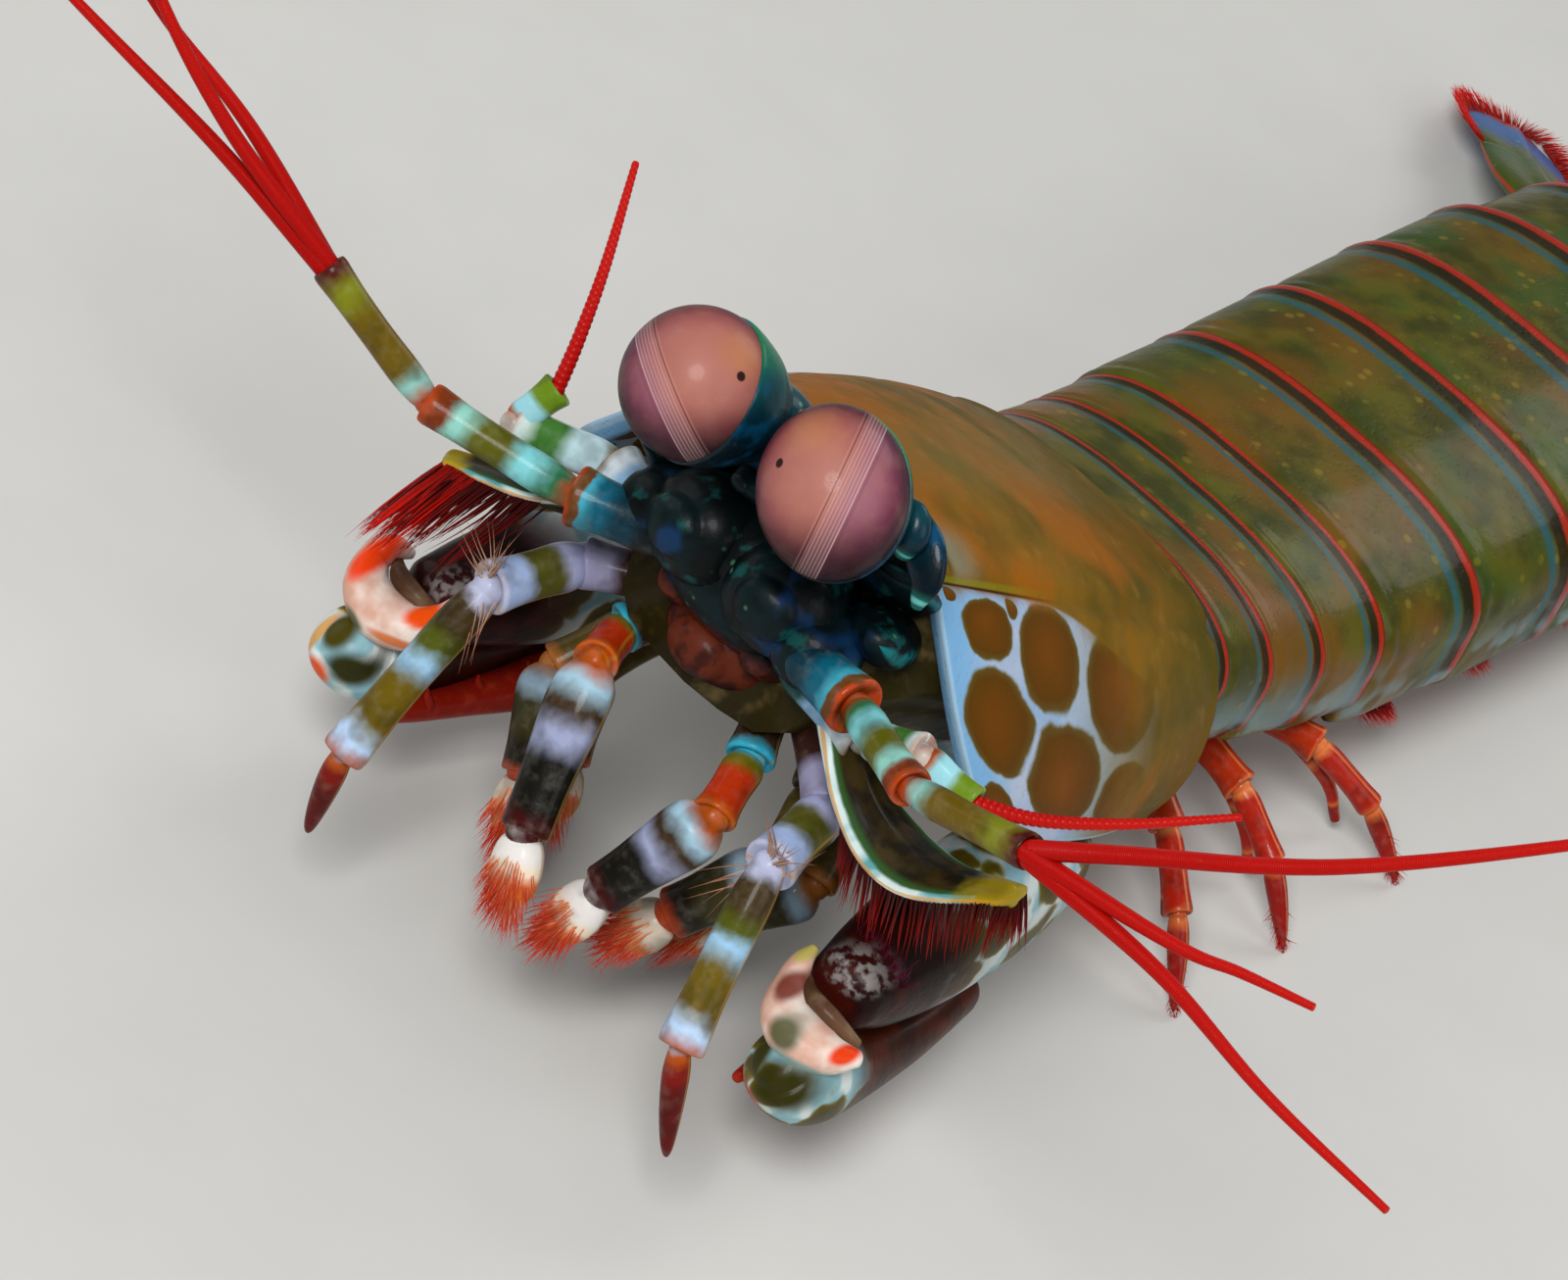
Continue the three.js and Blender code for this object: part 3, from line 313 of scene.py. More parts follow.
class Form:
    """A mesh in the making: closed shells of points, with a map value at each corner."""

    def __init__(self) -> None:
        self.points: list[Array] = []
        self.faces: list[list[int]] = []
        self.maps: list[Array] = []
        self.size = 0

    def shell(self, points: Array, faces: list[Array], maps: list[Array]) -> None:
        """Adds one closed shell, turned so that its faces point outwards.

        Args:
            points: The shell's points.
            faces: Arrays of faces with equal counts of corners.
            maps: The map values of each face's corners, in the same order.
        """
        volume = 0.0
        for group in faces:
            a, b, c = points[group[:, 0]], points[group[:, 1]], points[group[:, 2]]
            volume += np.einsum("ij,ij->", a, np.cross(b, c))
            if group.shape[1] == 4:
                volume += np.einsum("ij,ij->", a, np.cross(c, points[group[:, 3]]))
        for group, values in zip(faces, maps):
            order = slice(None) if volume > 0 else slice(None, None, -1)
            self.faces += (group[:, order] + self.size).tolist()
            self.maps.append(values[:, order].reshape(-1, 2))
        self.points.append(points)
        self.size += len(points)

    def tube(self, rings: Array, u: Array, v: Span = (0.0, 1.0)) -> None:
        """Adds a tube through rings, closed by a pole at each end.

        Args:
            rings: Rings with equal counts of points.
            u: The map's value along the tube, at each ring.
            v: The map's values at the start and the end of the way round.
        """
        rows, cols = rings.shape[:2]
        points = np.vstack([rings.reshape(-1, 3), rings[0].mean(axis=0), rings[-1].mean(axis=0)])
        around = v[0] + (v[1] - v[0]) * np.arange(cols + 1) / cols
        quads, values = lattice(rows, cols, u, around)
        faces, maps = [quads], [values]
        j = np.arange(cols)
        for row, pole, way in ((0, rows * cols, -1), (rows - 1, rows * cols + 1, 1)):
            edge = (row * cols + j, row * cols + (j + 1) % cols)[::way]
            faces.append(np.stack([*edge, np.full(cols, pole)], -1))
            a, b = (around[j], around[j + 1])[::way]
            maps.append(np.stack([np.stack([np.full(cols, u[row]), w], -1) for w in (a, b, (a + b) / 2)], 1))
        self.shell(points, faces, maps)

    def plate(self, outer: Array, inner: Array, u: Array, v: Array) -> None:
        """Adds a closed plate between two grids of points.

        Args:
            outer: The grid of the outer face.
            inner: The grid of the inner face.
            u: The map's value at each row.
            v: The map's value at each column.
        """
        rows, cols = outer.shape[:2]
        width = 2 * cols
        quads, values = lattice(rows, width, u, np.concatenate([v, v[::-1], v[:1]]))
        faces, maps = [quads], [values]
        j = np.arange(cols - 1)
        for row, way in ((0, -1), (rows - 1, 1)):
            first, last = row * width, (row + 1) * width - 1
            corners = np.stack([first + j, first + j + 1, last - 1 - j, last - j], -1)
            flat = [np.stack([np.full(cols - 1, u[row]), w], -1) for w in (v[j], v[j + 1], v[j + 1], v[j])]
            faces.append(corners[:, ::way])
            maps.append(np.stack(flat, 1)[:, ::way])
        self.shell(np.concatenate([outer, inner[:, ::-1]], axis=1).reshape(-1, 3), faces, maps)

    def sweep(
        self, rows: Array, up: Array, shape: Array, steps: int = 6, reach: float = 0.6, span: Span = (0, 1)
    ) -> None:
        """Adds a limb, feeler or blade with rounded ends through stations.

        Args:
            rows: Stations of x, y, z, half width and half thickness.
            up: The direction that the thickness leans to.
            shape: The section's outline.
            steps: How many rings lie between two stations.
            reach: How far a rounded end stands out, as a share of the thinner half.
            span: The map's values along the limb, at its first and last station.
        """
        fine = smooth(rows, steps)
        fine[:, 3:5] = np.maximum(fine[:, 3:5], 0.01)
        full = rounded(fine, reach)
        before = (len(full) - len(fine)) // 2
        along = np.clip((np.arange(len(full)) - before) / (len(fine) - 1), 0, 1)
        rings = rings_along(full[:, :3], full[:, 3:5], up, shape)
        self.tube(rings, span[0] + (span[1] - span[0]) * along)

    def spine(self, path: Sequence[tuple], up: Array, sides: int, span: Span, steps: int = 6) -> None:
        """Adds a pointed tooth through points, each with its half width and half thickness."""
        rows = np.array([[*point, wide, thick] for point, wide, thick in path])
        self.sweep(rows, up, outline(sides), steps=steps, span=span)

    def ball(self, centre: Array, half: float, u: float, sides: int = 24) -> None:
        """Adds a round joint membrane, all of one value along the map.

        Args:
            centre: The ball's middle.
            half: Its half size.
            u: The map's value along the limb.
            sides: How many points it has round its middle.
        """
        turn = np.linspace(0.12, math.pi - 0.12, sides // 2)
        around = np.arange(sides) / sides * 2 * math.pi
        ring = np.stack([np.cos(around), np.sin(around), np.zeros(sides)], -1)
        rings = np.sin(turn)[:, None, None] * ring + np.cos(turn)[:, None, None] * np.array([0, 0, 1.0])
        self.tube(centre + rings * half, np.full(len(turn), u))

    def hand_in(self, name: str, finish: Finish, slot: str, node: str) -> None:
        """Makes the mesh object, with its place in its mesh, and hands it to the frame.

        Args:
            name: The piece's name.
            finish: The finish of all its faces.
            slot: Not used.
            node: The node that it stands for.
        """
        material = finish.material()
        mesh = bpy.data.meshes.new(name)
        mesh.from_pydata((np.vstack(self.points) * MM).tolist(), [], self.faces)
        layer = mesh.uv_layers.new(name="UVMap")
        layer.data.foreach_set("uv", np.vstack(self.maps).astype(np.float32).ravel())
        mesh.polygons.foreach_set("use_smooth", np.ones(len(mesh.polygons), bool))
        mesh.materials.append(material)
        mesh.update()
        settle(link(name, mesh), node)


def tint(code: str) -> tuple[float, float, float, float]:
    """Turns a web colour into Blender's linear red, green, blue and alpha."""
    parts = [int(code[k : k + 2], 16) / 255 for k in (1, 3, 5)]
    red, green, blue = (p / 12.92 if p <= 0.04045 else ((p + 0.055) / 1.055) ** 2.4 for p in parts)
    return (red, green, blue, 1.0)


class Wire:
    """One output socket of a node tree, with arithmetic."""

    def __init__(self, graph: Graph, socket: bpy.types.NodeSocket) -> None:
        self.graph = graph
        self.socket = socket

    def math(self, operation: str, *values: Wire | float) -> Wire:
        """Adds a Math node whose first value is this socket."""
        inputs = dict(enumerate((self, *values)))
        return self.graph.node("ShaderNodeMath", {"operation": operation}, inputs)

    def __add__(self, other: Wire | float) -> Wire:
        """Sum."""
        return self.math("ADD", other)

    def __sub__(self, other: Wire | float) -> Wire:
        """Difference."""
        return self.math("SUBTRACT", other)

    def __rsub__(self, other: float) -> Wire:
        """A number less this socket."""
        return (self * -1) + other

    def __mul__(self, other: Wire | float) -> Wire:
        """Product."""
        return self.math("MULTIPLY", other)

    __radd__ = __add__
    __rmul__ = __mul__

    def __truediv__(self, other: Wire | float) -> Wire:
        """Quotient."""
        return self.math("DIVIDE", other)

    def __abs__(self) -> Wire:
        """Absolute value."""
        return self.math("ABSOLUTE")

    def least(self, other: Wire | float) -> Wire:
        """The smaller of two values."""
        return self.math("MINIMUM", other)

    def most(self, other: Wire | float) -> Wire:
        """The larger of two values."""
        return self.math("MAXIMUM", other)

    def rise(self, low: float, high: float) -> Wire:
        """A smooth step from 0 at low to 1 at high, or down where low is the larger."""
        down = low > high
        inputs = {0: self, 1: min(low, high), 2: max(low, high), 3: float(down), 4: float(not down)}
        return self.graph.node("ShaderNodeMapRange", {"interpolation_type": "SMOOTHSTEP"}, inputs)

    def hump(self, centre: float, width: float) -> Wire:
        """A smooth hump of height one round a value."""
        return abs(self - centre).rise(width, width * 0.25)

    def stir(self, size: float, reach: float, detail: float = 3.0) -> Wire:
        """This socket, moved to and fro by noise with lumps as large as size."""
        return self + (self.graph.noise(size, detail) - 0.5) * reach

    def ramp(self, *stops: tuple[float, str]) -> Wire:
        """A colour ramp of web colours over this socket."""
        return self.graph.node("ShaderNodeValToRGB", {"stops": stops}, {0: self})


class Graph:
    """A node tree in the making."""

    def __init__(self, tree: bpy.types.NodeTree) -> None:
        self.tree = tree

    def put(self, socket: bpy.types.NodeSocket, value: object) -> None:
        """Links a wire to a socket, or sets the socket's own value."""
        if isinstance(value, Wire):
            self.tree.links.new(value.socket, socket)
        else:
            socket.default_value = value

    def node(
        self,
        kind: str,
        settings: dict[str, object] | None = None,
        inputs: dict[str | int, object] | None = None,
        output: str | int = 0,
    ) -> Wire:
        """Adds a node.

        Args:
            kind: The node's type.
            settings: Its own settings, with a ramp's stops as web colours.
            inputs: The values or wires of its sockets, by name or place.
            output: Which of its outputs is returned.

        Returns:
            The output.
        """
        node = self.tree.nodes.new(kind)
        for key, value in (settings or {}).items():
            if key != "stops":
                setattr(node, key, value)
                continue
            elements = node.color_ramp.elements
            elements.remove(elements[1])
            for rank, (place, code) in enumerate(value):
                element = elements.new(min(max(place, 0.0), 1.0)) if rank else elements[0]
                element.position = min(max(place, 0.0), 1.0)
                element.color = tint(code)
        for key, value in (inputs or {}).items():
            self.put(node.inputs[key], value)
        return Wire(self, node.outputs[output])

    def place(self) -> Wire:
        """The point on the animal, in millimetres."""
        spot = self.node("ShaderNodeTexCoord", output="Object")
        return self.vector("SCALE", spot, scale=1 / MM)

    def uv(self) -> tuple[Wire, Wire]:
        """The piece's own map, along and across."""
        both = self.node("ShaderNodeUVMap", {"uv_map": "UVMap"})
        split = self.node("ShaderNodeSeparateXYZ", inputs={0: both})
        return split, Wire(self, split.socket.node.outputs[1])

    def vector(self, operation: str, *values: object, scale: float | None = None) -> Wire:
        """Adds a Vector Math node."""
        inputs: dict[str | int, object] = dict(enumerate(values))
        if scale is not None:
            inputs["Scale"] = scale
        output = "Value" if operation in ("DOT_PRODUCT", "LENGTH", "DISTANCE") else "Vector"
        return self.node("ShaderNodeVectorMath", {"operation": operation}, inputs, output)

    def away(self, centre: Row) -> Wire:
        """The way from a point of the animal, in millimetres."""
        return self.vector("SUBTRACT", self.place(), tuple(centre))

    def along(self, vector: Wire, direction: Row) -> Wire:
        """How far a vector reaches along a direction."""
        return self.vector("DOT_PRODUCT", vector, tuple(direction))

    def mix(self, factor: Wire | float, a: object, b: object, blend: str = "MIX") -> Wire:
        """Mixes two colours, given as wires or web colours."""
        colours = [tint(c) if isinstance(c, str) else c for c in (a, b)]
        settings = {"data_type": "RGBA", "blend_type": blend}
        return self.node("ShaderNodeMix", settings, {0: factor, 6: colours[0], 7: colours[1]}, 2)

    def coats(self, colour: Wire, *coats: tuple[Wire, object]) -> Wire:
        """Lays colours over a colour in turn, each by its own mask."""
        for mask, code in coats:
            colour = self.mix(mask, colour, code)
        return colour

    def noise(self, size: float, detail: float = 3.0) -> Wire:
        """Soft noise around one half, its lumps as large as size in millimetres."""
        inputs = {"Vector": self.place(), "Scale": 1 / size, "Detail": detail}
        return self.node("ShaderNodeTexNoise", None, inputs)

    def patches(self, size: float, detail: float, low: float, high: float) -> Wire:
        """Noise from its value low, as 0, to its value high, as 1."""
        return self.noise(size, detail).rise(low, high)

    def cells(self, size: float, where: Wire | None = None) -> Wire:
        """The distance from the middle in a pattern of cells, as large as size in millimetres."""
        inputs = {"Vector": where or self.place(), "Scale": 1 / size}
        return self.node("ShaderNodeTexVoronoi", {"feature": "F1"}, inputs)

    def specks(self, size: float, high: float, low: float, patch: float, rare: Span) -> Wire:
        """Small dots, in some places more than in others."""
        return self.cells(size).rise(high, low) * self.noise(patch).rise(*rare)

    def blob(self, centre: Row, half: Row, soft: float = 0.3) -> Wire:
        """A soft round mask in space.

        Args:
            centre: Its middle, in millimetres of the animal.
            half: Its half sizes along x, y and z.
            soft: How much of it is its soft edge.

        Returns:
            One inside and zero outside.
        """
        scaled = self.vector("DIVIDE", self.away(centre), tuple(half))
        return self.vector("LENGTH", scaled).rise(1 + soft / 2, 1 - soft / 2)


@dataclass(frozen=True)
class Paint:
    """What a finish lays over a surface: colour, and where given roughness and height."""

    colour: Wire
    rough: Wire | None = None
    height: Wire | None = None


@dataclass(frozen=True)
class Finish:
    """A finish of the animal's shell, laid over a smooth base."""

    name: str
    roughness: float = 0.4
    coat: float = 0.06
    shine: float = 0.1
    relief: float = 0.04  # millimetres that its grain stands out
    deep: float = 0.4  # how far the wet surface deepens its colours

    def paint(self, g: Graph) -> Paint:
        """Lays out the finish.

        Args:
            g: The material's node tree.

        Returns:
            The finish's colour, roughness and height.
        """
        raise NotImplementedError

    def material(self) -> bpy.types.Material:
        """Makes the material once, or finds it again.

        Returns:
            The material.
        """
        name = self.name + "_finish"
        known = bpy.data.materials.get(name)
        if known:
            return known
        material = bpy.data.materials.new(name)
        material.use_nodes = True
        g = Graph(material.node_tree)
        shader = material.node_tree.nodes["Principled BSDF"]
        paint = self.paint(g)
        colour = paint.colour
        inputs = {
            "Base Color": g.mix(self.deep, colour, colour, "MULTIPLY") if self.deep else colour,
            "Roughness": paint.rough or self.roughness,
            "Coat Weight": self.coat,
            "Coat Roughness": 0.1,
            "Specular IOR Level": self.shine,
        }
        if paint.height is not None:
            raised = {"Height": paint.height, "Distance": self.relief * MM, "Strength": 1.0}
            inputs["Normal"] = g.node("ShaderNodeBump", None, raised)
        for key, value in inputs.items():
            g.put(shader.inputs[key], value)
        return material


@dataclass(frozen=True)
class Dab:
    """A soft round dab of colour on one side of the head, as a place of the head's frame on the left."""

    at: Row
    half: Span  # half sizes across and upright
    code: str
    strength: float = 1.0
    rag: float = 0.0  # how patchy it is

    def over(self, g: Graph, colour: Wire, side: Side) -> Wire:
        """Lays the dab over a colour.

        Args:
            g: The material's node tree.
            colour: The colour below it.
            side: The side of the head that it is on.

        Returns:
            The colour with the dab.
        """
        across, upright = self.half
        mask = g.blob(HEAD.at(self.at, side.value), (across, 2.6 * max(self.half), upright), 0.8)
        if self.rag:
            mask = mask * (1 - self.rag + g.patches(0.6, 3.0, 0.42, 0.58) * self.rag)
        return g.mix(mask * self.strength, colour, self.code)


@dataclass(frozen=True)
class FloorFinish(Finish):
    """The plain pale floor."""

    def paint(self, g: Graph) -> Paint:
        """A pale grey with a barely seen grain."""
        return Paint(g.mix(g.noise(9.0), "#cbcac6", "#d2d1cd"))


@dataclass(frozen=True)
class CorneaFinish(Finish):
    """A dusty rose eye with fine stripes along its middle band."""

    centre: Row = (0.0, 0.0, 0.0)
    bright: Row = (0.0, 0.0, 1.0)  # the way of the painted light: palest there, and painted darker away from it as shade
    across: Row = (1.0, 0.0, 0.0)  # from the inner side to the outer, over the band
    band: float = 0.0  # the band's middle from the eye's, along across
    pupil: Row = (0.0, 0.0, 1.0)
    glow: Row = (0.0, 0.0, 1.0)  # the warm patch above the dark spot, from the eye's middle
    below: Row = (0.0, 0.0, -1.0)  # towards its lower side, painted darker there as shade

    def paint(self, g: Graph) -> Paint:
        """Rose in the middle, mauve to the rim, painted darker to the rim and on the lower side as shade,
        with stripes, a dark spot and a warm glow.
        """
        away = g.away(self.centre)
        out = g.vector("NORMALIZE", away)
        lit_facing = (g.along(out, self.bright) + 0.2) / 1.2
        over = g.along(away, self.across) - self.band
        # rose and mauve are the eye's own hues; each ramp runs from dark away from the painted light to pale
        # towards it, as painted shade
        rose = lit_facing.ramp(
            (0.15, "#1e0810"), (0.38, "#3c1420"), (0.54, "#642e36"),
            (0.7, "#8c4c4c"), (0.86, "#a06058"), (1.0, "#a86c60"),
        )  # fmt: skip
        mauve = lit_facing.ramp(
            (0.15, "#1e0818"), (0.38, "#401328"), (0.56, "#6a3046"), (0.74, "#8c5260"), (1.0, "#9c6872")
        )
        inside = over.rise(-0.48, -0.44) * over.rise(0.52, 0.48)
        wave = over.stir(1.6, 0.02, 2.0)
        lines = (wave * (2 * math.pi / 0.17)).math("SINE").rise(-0.2, 0.9)
        colour = g.coats(
            g.mix(over.rise(-0.4, 0.45), rose, mauve),
            (g.patches(1.3, 3.0, 0.4, 0.7) * 0.12, "#c08a70"),
            # painted shade on the lower side of the cornea
            (g.along(out, self.below).rise(0.2, 0.95) * 0.85, "#260a14"),
            (inside * 0.16, "#b98a8a"),
            (inside * lines * 0.24, "#dcb8b4"),
            (over.hump(-0.51, 0.05) * 0.5, "#42141f"),
            (over.hump(-0.62, 0.05) * 0.16, "#e0b0a4"),
            (over.hump(0.54, 0.05) * 0.5, "#dcbabc"),
            (over.hump(0.7, 0.12) * 0.25, "#4e2038"),
            (g.blob(np.add(self.centre, self.glow), (1.1, 1.1, 1.1), 1.5) * 0.4, "#b87a3c"),
            (g.along(out, self.pupil).rise(0.9972, 0.9987) * 0.96, "#120506"),
        )
        return Paint(colour, height=g.cells(0.11) + lines * inside * -0.4)


@dataclass(frozen=True)
class StalkFinish(Finish):
    """Wet shell of the eye stalks: painted green where lit above and dark blue-green as shade below, with a
    thin pale rim.
    """

    middle: Row = (0.0, 0.0, 0.0)
    above: Row = (0.0, 0.0, 1.0)  # towards its painted lit side, which is green

    def paint(self, g: Graph) -> Paint:
        """Painted green where lit to dark blue-green as shade, with blue flecks and a bright line at the eye.
        """
        # height: how far towards the painted lit side; the ramp paints it green where lit and dark blue-green
        # as shade
        height = g.along(g.away(self.middle), self.above).stir(2.4, 3.0)
        along, _ = g.uv()
        colour = g.coats(
            ((height + 4) / 8).ramp(
                (0.0, "#03121a"), (0.28, "#062c3a"), (0.5, "#08464a"), (0.7, "#0c6a4a"), (1.0, "#148a4c")
            ),
            (g.patches(1.8, 2.0, 0.56, 0.72) * 0.5, "#0e5480"),
            (g.specks(0.8, 0.24, 0.1, 3.0, (0.5, 0.62)) * 0.5, "#58a888"),
            (along.rise(0.78, 0.9) * 0.3, "#1a8c7c"),
            (along.hump(0.93, 0.05) * 0.7, "#6cc0bc"),
        )
        return Paint(colour, height=g.noise(0.35))


@dataclass(frozen=True)
class FaceFinish(Finish):
    """The nearly black face, partly its own dark colour and partly painted shade, with painted blue and teal
    highlights, and brown-red at the mouth, partly painted shade.
    """

    def paint(self, g: Graph) -> Paint:
        """Green-black, partly painted shade, with blue patches and teal rims painted as highlights."""
        place = g.away(HEAD.origin)
        _, v = g.uv()
        outer = abs(g.along(place, HEAD.left)).rise(6.6, 7.6)
        # rim: a teal line painted along one side of each outer lobe, as rim light
        rim = v.hump(0.5, 0.11) * outer * g.patches(1.1, 3.0, 0.38, 0.6)
        mouth = g.mix(g.patches(1.2, 3.0, 0.4, 0.6), "#34120c", "#5a2414")
        # dark: the face's own near-black deepened by painted shade, with blue patches painted as highlights
        dark = g.coats(
            g.mix(g.patches(3.2, 3.0, 0.4, 0.6), "#04090a", "#08191c"),
            (g.patches(2.6, 2.0, 0.55, 0.7) * 0.7, "#10345c"),
            (g.patches(1.5, 4.0, 0.58, 0.7) * 0.5, "#145a58"),
            (rim * 0.6, "#1a8688"),
            (g.specks(1.0, 0.2, 0.08, 3.0, (0.5, 0.6)) * 0.5, "#4f8a60"),
        )
        # the mouth's brown-red below is partly painted shade
        colour = g.mix(g.along(place, HEAD.up).stir(1.5, 1.6).rise(-10.6, -11.6), dark, mouth)
        return Paint(colour, g.noise(1.0) * 0.3 + 0.3, g.noise(0.6))


@dataclass(frozen=True)
class CarapaceFinish(Finish):
    """Olive-brown plate with a pale blue network round brown spots on its sides."""

    # Spots of the side as [along from the front, down from the middle, half sizes, turn]
    spots: Rows = (
        (1.0, 8.7, 0.7, 0.5, 0.0), (4.0, 10.2, 2.3, 1.6, -0.16), (6.5, 9.0, 0.55, 0.55, 0.0),
        (9.8, 10.9, 3.1, 2.6, -0.14), (4.2, 14.5, 3.6, 2.5, -0.1), (11.0, 16.9, 4.8, 3.4, -0.06),
        (17.8, 11.8, 4.4, 3.1, -0.05), (2.2, 19.2, 2.2, 1.8, -0.3), (19.8, 18.2, 3.9, 3.0, 0.1),
        (25.8, 13.0, 3.3, 2.9, 0.1), (27.0, 19.2, 3.0, 2.2, 0.0),
    )  # fmt: skip

    def gap(self, along: Wire, down: Wire) -> Wire:
        """Finds how near a place is to the borders between the spots.

        Args:
            along: The place's way from the front.
            down: Its way down from the middle.

        Returns:
            0 in a spot's middle to 1 at a border.
        """
        near = second = None
        for x, y, a, b, turn in self.spots:
            c, s = math.cos(turn), math.sin(turn)
            dx, dy = along - x, down - y
            p = (dx * c + dy * s) / a
            q = (dy * c - dx * s) / b
            away = (p * p + q * q).math("SQRT")
            if near is None:
                near, second = away, away + 9.0
            else:
                second = second.least(near.most(away))
                near = near.least(away)
        return near.most(1.05 - (second - near) * 0.42)

    def paint(self, g: Graph) -> Paint:
        """The middle plate, the sides with their network, and the cream margins."""
        u, v = g.uv()
        straight = u * CARAPACE_LENGTH
        down = abs(v - 0.5) * (2 * CARAPACE_GIRTH)
        along = straight.stir(2.2, 1.0)
        wavy = down.stir(2.6, 1.0)
        mottle = g.noise(5.0, 4.0)
        olive = g.coats(
            g.mix(mottle.rise(0.35, 0.65), "#6e5a12", "#94701a"),
            (g.patches(8.0, 2.0, 0.42, 0.6) * 0.85, "#ac6c10"),
            (wavy.rise(3.5, 0.5) * 0.5, "#8a7840"),
            (along.rise(20, 30) * 0.6, "#5a5612"),
            (g.patches(1.6, 4.0, 0.55, 0.75) * 0.3, "#b08a3c"),
        )
        gap = self.gap(along, wavy)
        spot = gap.ramp(
            (0.0, "#8e560e"), (0.45, "#7c4c0a"), (0.82, "#6e480a"), (0.94, "#705a24"), (1.0, "#8c8c74")
        )
        net = g.coats(
            g.mix(mottle.rise(0.4, 0.7), "#a4bcd6", "#c0c8d8"),
            (along.rise(5.5, 1.0) * 0.8, "#86bce0"),
            (along.rise(10.0, 18.0) * 0.75, "#9c9678"),
        )
        edge = down - straight.rise(9, 24) * 3.2
        leopard = edge.rise(8.1, 8.35) * along.rise(24, 15) * edge.stir(2.0, 2).rise(7.4, 9.0)
        patch = along.rise(5.4, 2.4) * wavy.hump(6.2, 2.4) * straight.rise(1.6, 2.4)
        cream = straight.rise(0.16, 0.08).most(down.rise(21.6, 21.85)) * down.rise(8.2, 8.6)
        colour = g.coats(
            g.mix(leopard, olive, g.mix(gap.rise(0.95, 1.04), spot, net)),
            (straight.rise(1.5, 0.9) * down.rise(7.9, 7.0) * 0.92, "#2f7018"),
            (straight.hump(1.75, 0.3) * down.rise(7.8, 6.8) * 0.5, "#20240a"),
            (patch * 0.6, "#94a090"),
            (down.hump(7.8, 0.26) * straight.rise(12, 5) * 0.6, "#949a1c"),
            # a dark line painted in the groove as shade
            (down.hump(8.08, 0.13) * straight.rise(14, 5) * 0.85, "#1e1806"),
            (cream * 0.8, "#b4cede"),
        )
        pits = g.cells(0.42).rise(0.35, 0.1)
        return Paint(colour, g.noise(1.2) * 0.25 + (self.roughness - 0.1), g.noise(0.8) - pits * 0.4)


@dataclass(frozen=True)
class TergiteFinish(Finish):
    """Olive-green body ring with a blue line and a red rim at its rear edge."""

    green: float = 0.5  # how green the ring is, from 0 brown to 1 green

    def paint(self, g: Graph) -> Paint:
        """Mottled olive above, with rear lines, and a pale belly."""
        u, v = g.uv()
        down = 1 - abs(v - 1.0) * 2
        mottle = g.noise(3.2, 4.0)
        line = u.stir(2.0, 0.03)
        colour = g.coats(
            g.mix(mottle.rise(0.36, 0.64), "#45480f", "#6b6416"),
            (g.patches(8.0, 2.0, 0.42, 0.62) * (1 - self.green * 0.8), "#84591a"),
            (g.patches(6.0, 2.0, 0.45, 0.65) * self.green * 0.8, "#2c5f24"),
            (g.specks(1.3, 0.3, 0.16, 4.0, (0.48, 0.6)) * 0.45, "#a08c2c"),
            (line.hump(0.8, 0.05) * 0.7, "#1d6a78"),
            (line.rise(0.84, 0.87) * 0.85, "#241708"),
            (line.rise(0.925, 0.945), "#b02e10"),
            (down.rise(0.42, 0.56) * g.patches(4.5, 2.0, 0.46, 0.56) * 0.7, "#8fa9ae"),
            (down.rise(0.66, 0.72), g.mix(mottle, "#8d7a4e", "#a9693a")),
        )
        pits = g.cells(0.5).rise(0.35, 0.1)
        return Paint(colour, g.noise(1.0) * 0.25 + 0.26, g.noise(0.9) - pits * 0.45)


@dataclass(frozen=True)
class LimbFinish(Finish):
    """A jointed limb, banded along its articles."""

    coat: float = 0.12
    articles: int = 3
    bands: Bands = ()  # each band's start, in articles, and colour
    edge: str = "#c79a2a"  # the colour of the painted rim light: thin lines along its two sides
    edge_strength: float = 0.5

    def paint(self, g: Graph) -> Paint:
        """The bands, with wavering borders, a pale bloom and bright edges painted as rim light."""
        u, v = g.uv()
        along = (u * self.articles).stir(1.3, 0.17) / self.articles
        stops: list[tuple[float, str]] = []
        half = 0.022 / self.articles * 3
        for (start, code), (_, before) in zip(self.bands, (self.bands[0], *self.bands)):
            stops += [(start / self.articles - half, before), (start / self.articles + half, code)]
        colour = along.ramp(*stops)
        colour = g.mix(g.patches(0.7, 4.0, 0.45, 0.75) * 0.14, colour, g.mix(0.5, colour, "#e8e4d0"))
        colour = g.mix(g.patches(1.6, 2.0, 0.52, 0.3) * 0.5, colour, g.mix(0.6, colour, "#141004"))
        # edges: thin lines along the two sides, painted as rim light
        edges = (v * 2).math("PINGPONG", 0.5).rise(0.045, 0.02)
        colour = g.mix(edges * self.edge_strength, colour, self.edge)
        return Paint(colour, g.noise(0.8) * 0.25 + (self.roughness - 0.12), g.noise(0.45))


@dataclass(frozen=True)
class ScaleFinish(Finish):
    """A dark leaf with a broad pale rim, and yellow at its tip."""

    coat: float = 0.12

    def paint(self, g: Graph) -> Paint:
        """Dark olive inside, green to the rim, and aqua and white along it."""
        u, v = g.uv()
        side = (v * 2).math("PINGPONG", 0.5).stir(1.8, 0.09)
        colour = g.coats(
            g.mix(g.patches(1.8, 3.0, 0.4, 0.6), "#2a2010", "#4a3a14"),
            (side.rise(0.3, 0.2) * 0.9, "#3f6a34"),
            (side.rise(0.19, 0.13), g.mix(g.patches(2.6, 2.0, 0.44, 0.56), "#6fb0b4", "#d8e6e4")),
            (u.stir(1.6, 0.2).rise(0.82, 0.93), "#b8a41c"),
            (side.rise(0.06, 0.03) * 0.7, "#d89a2c"),
        )
        return Paint(colour, height=g.noise(0.5))


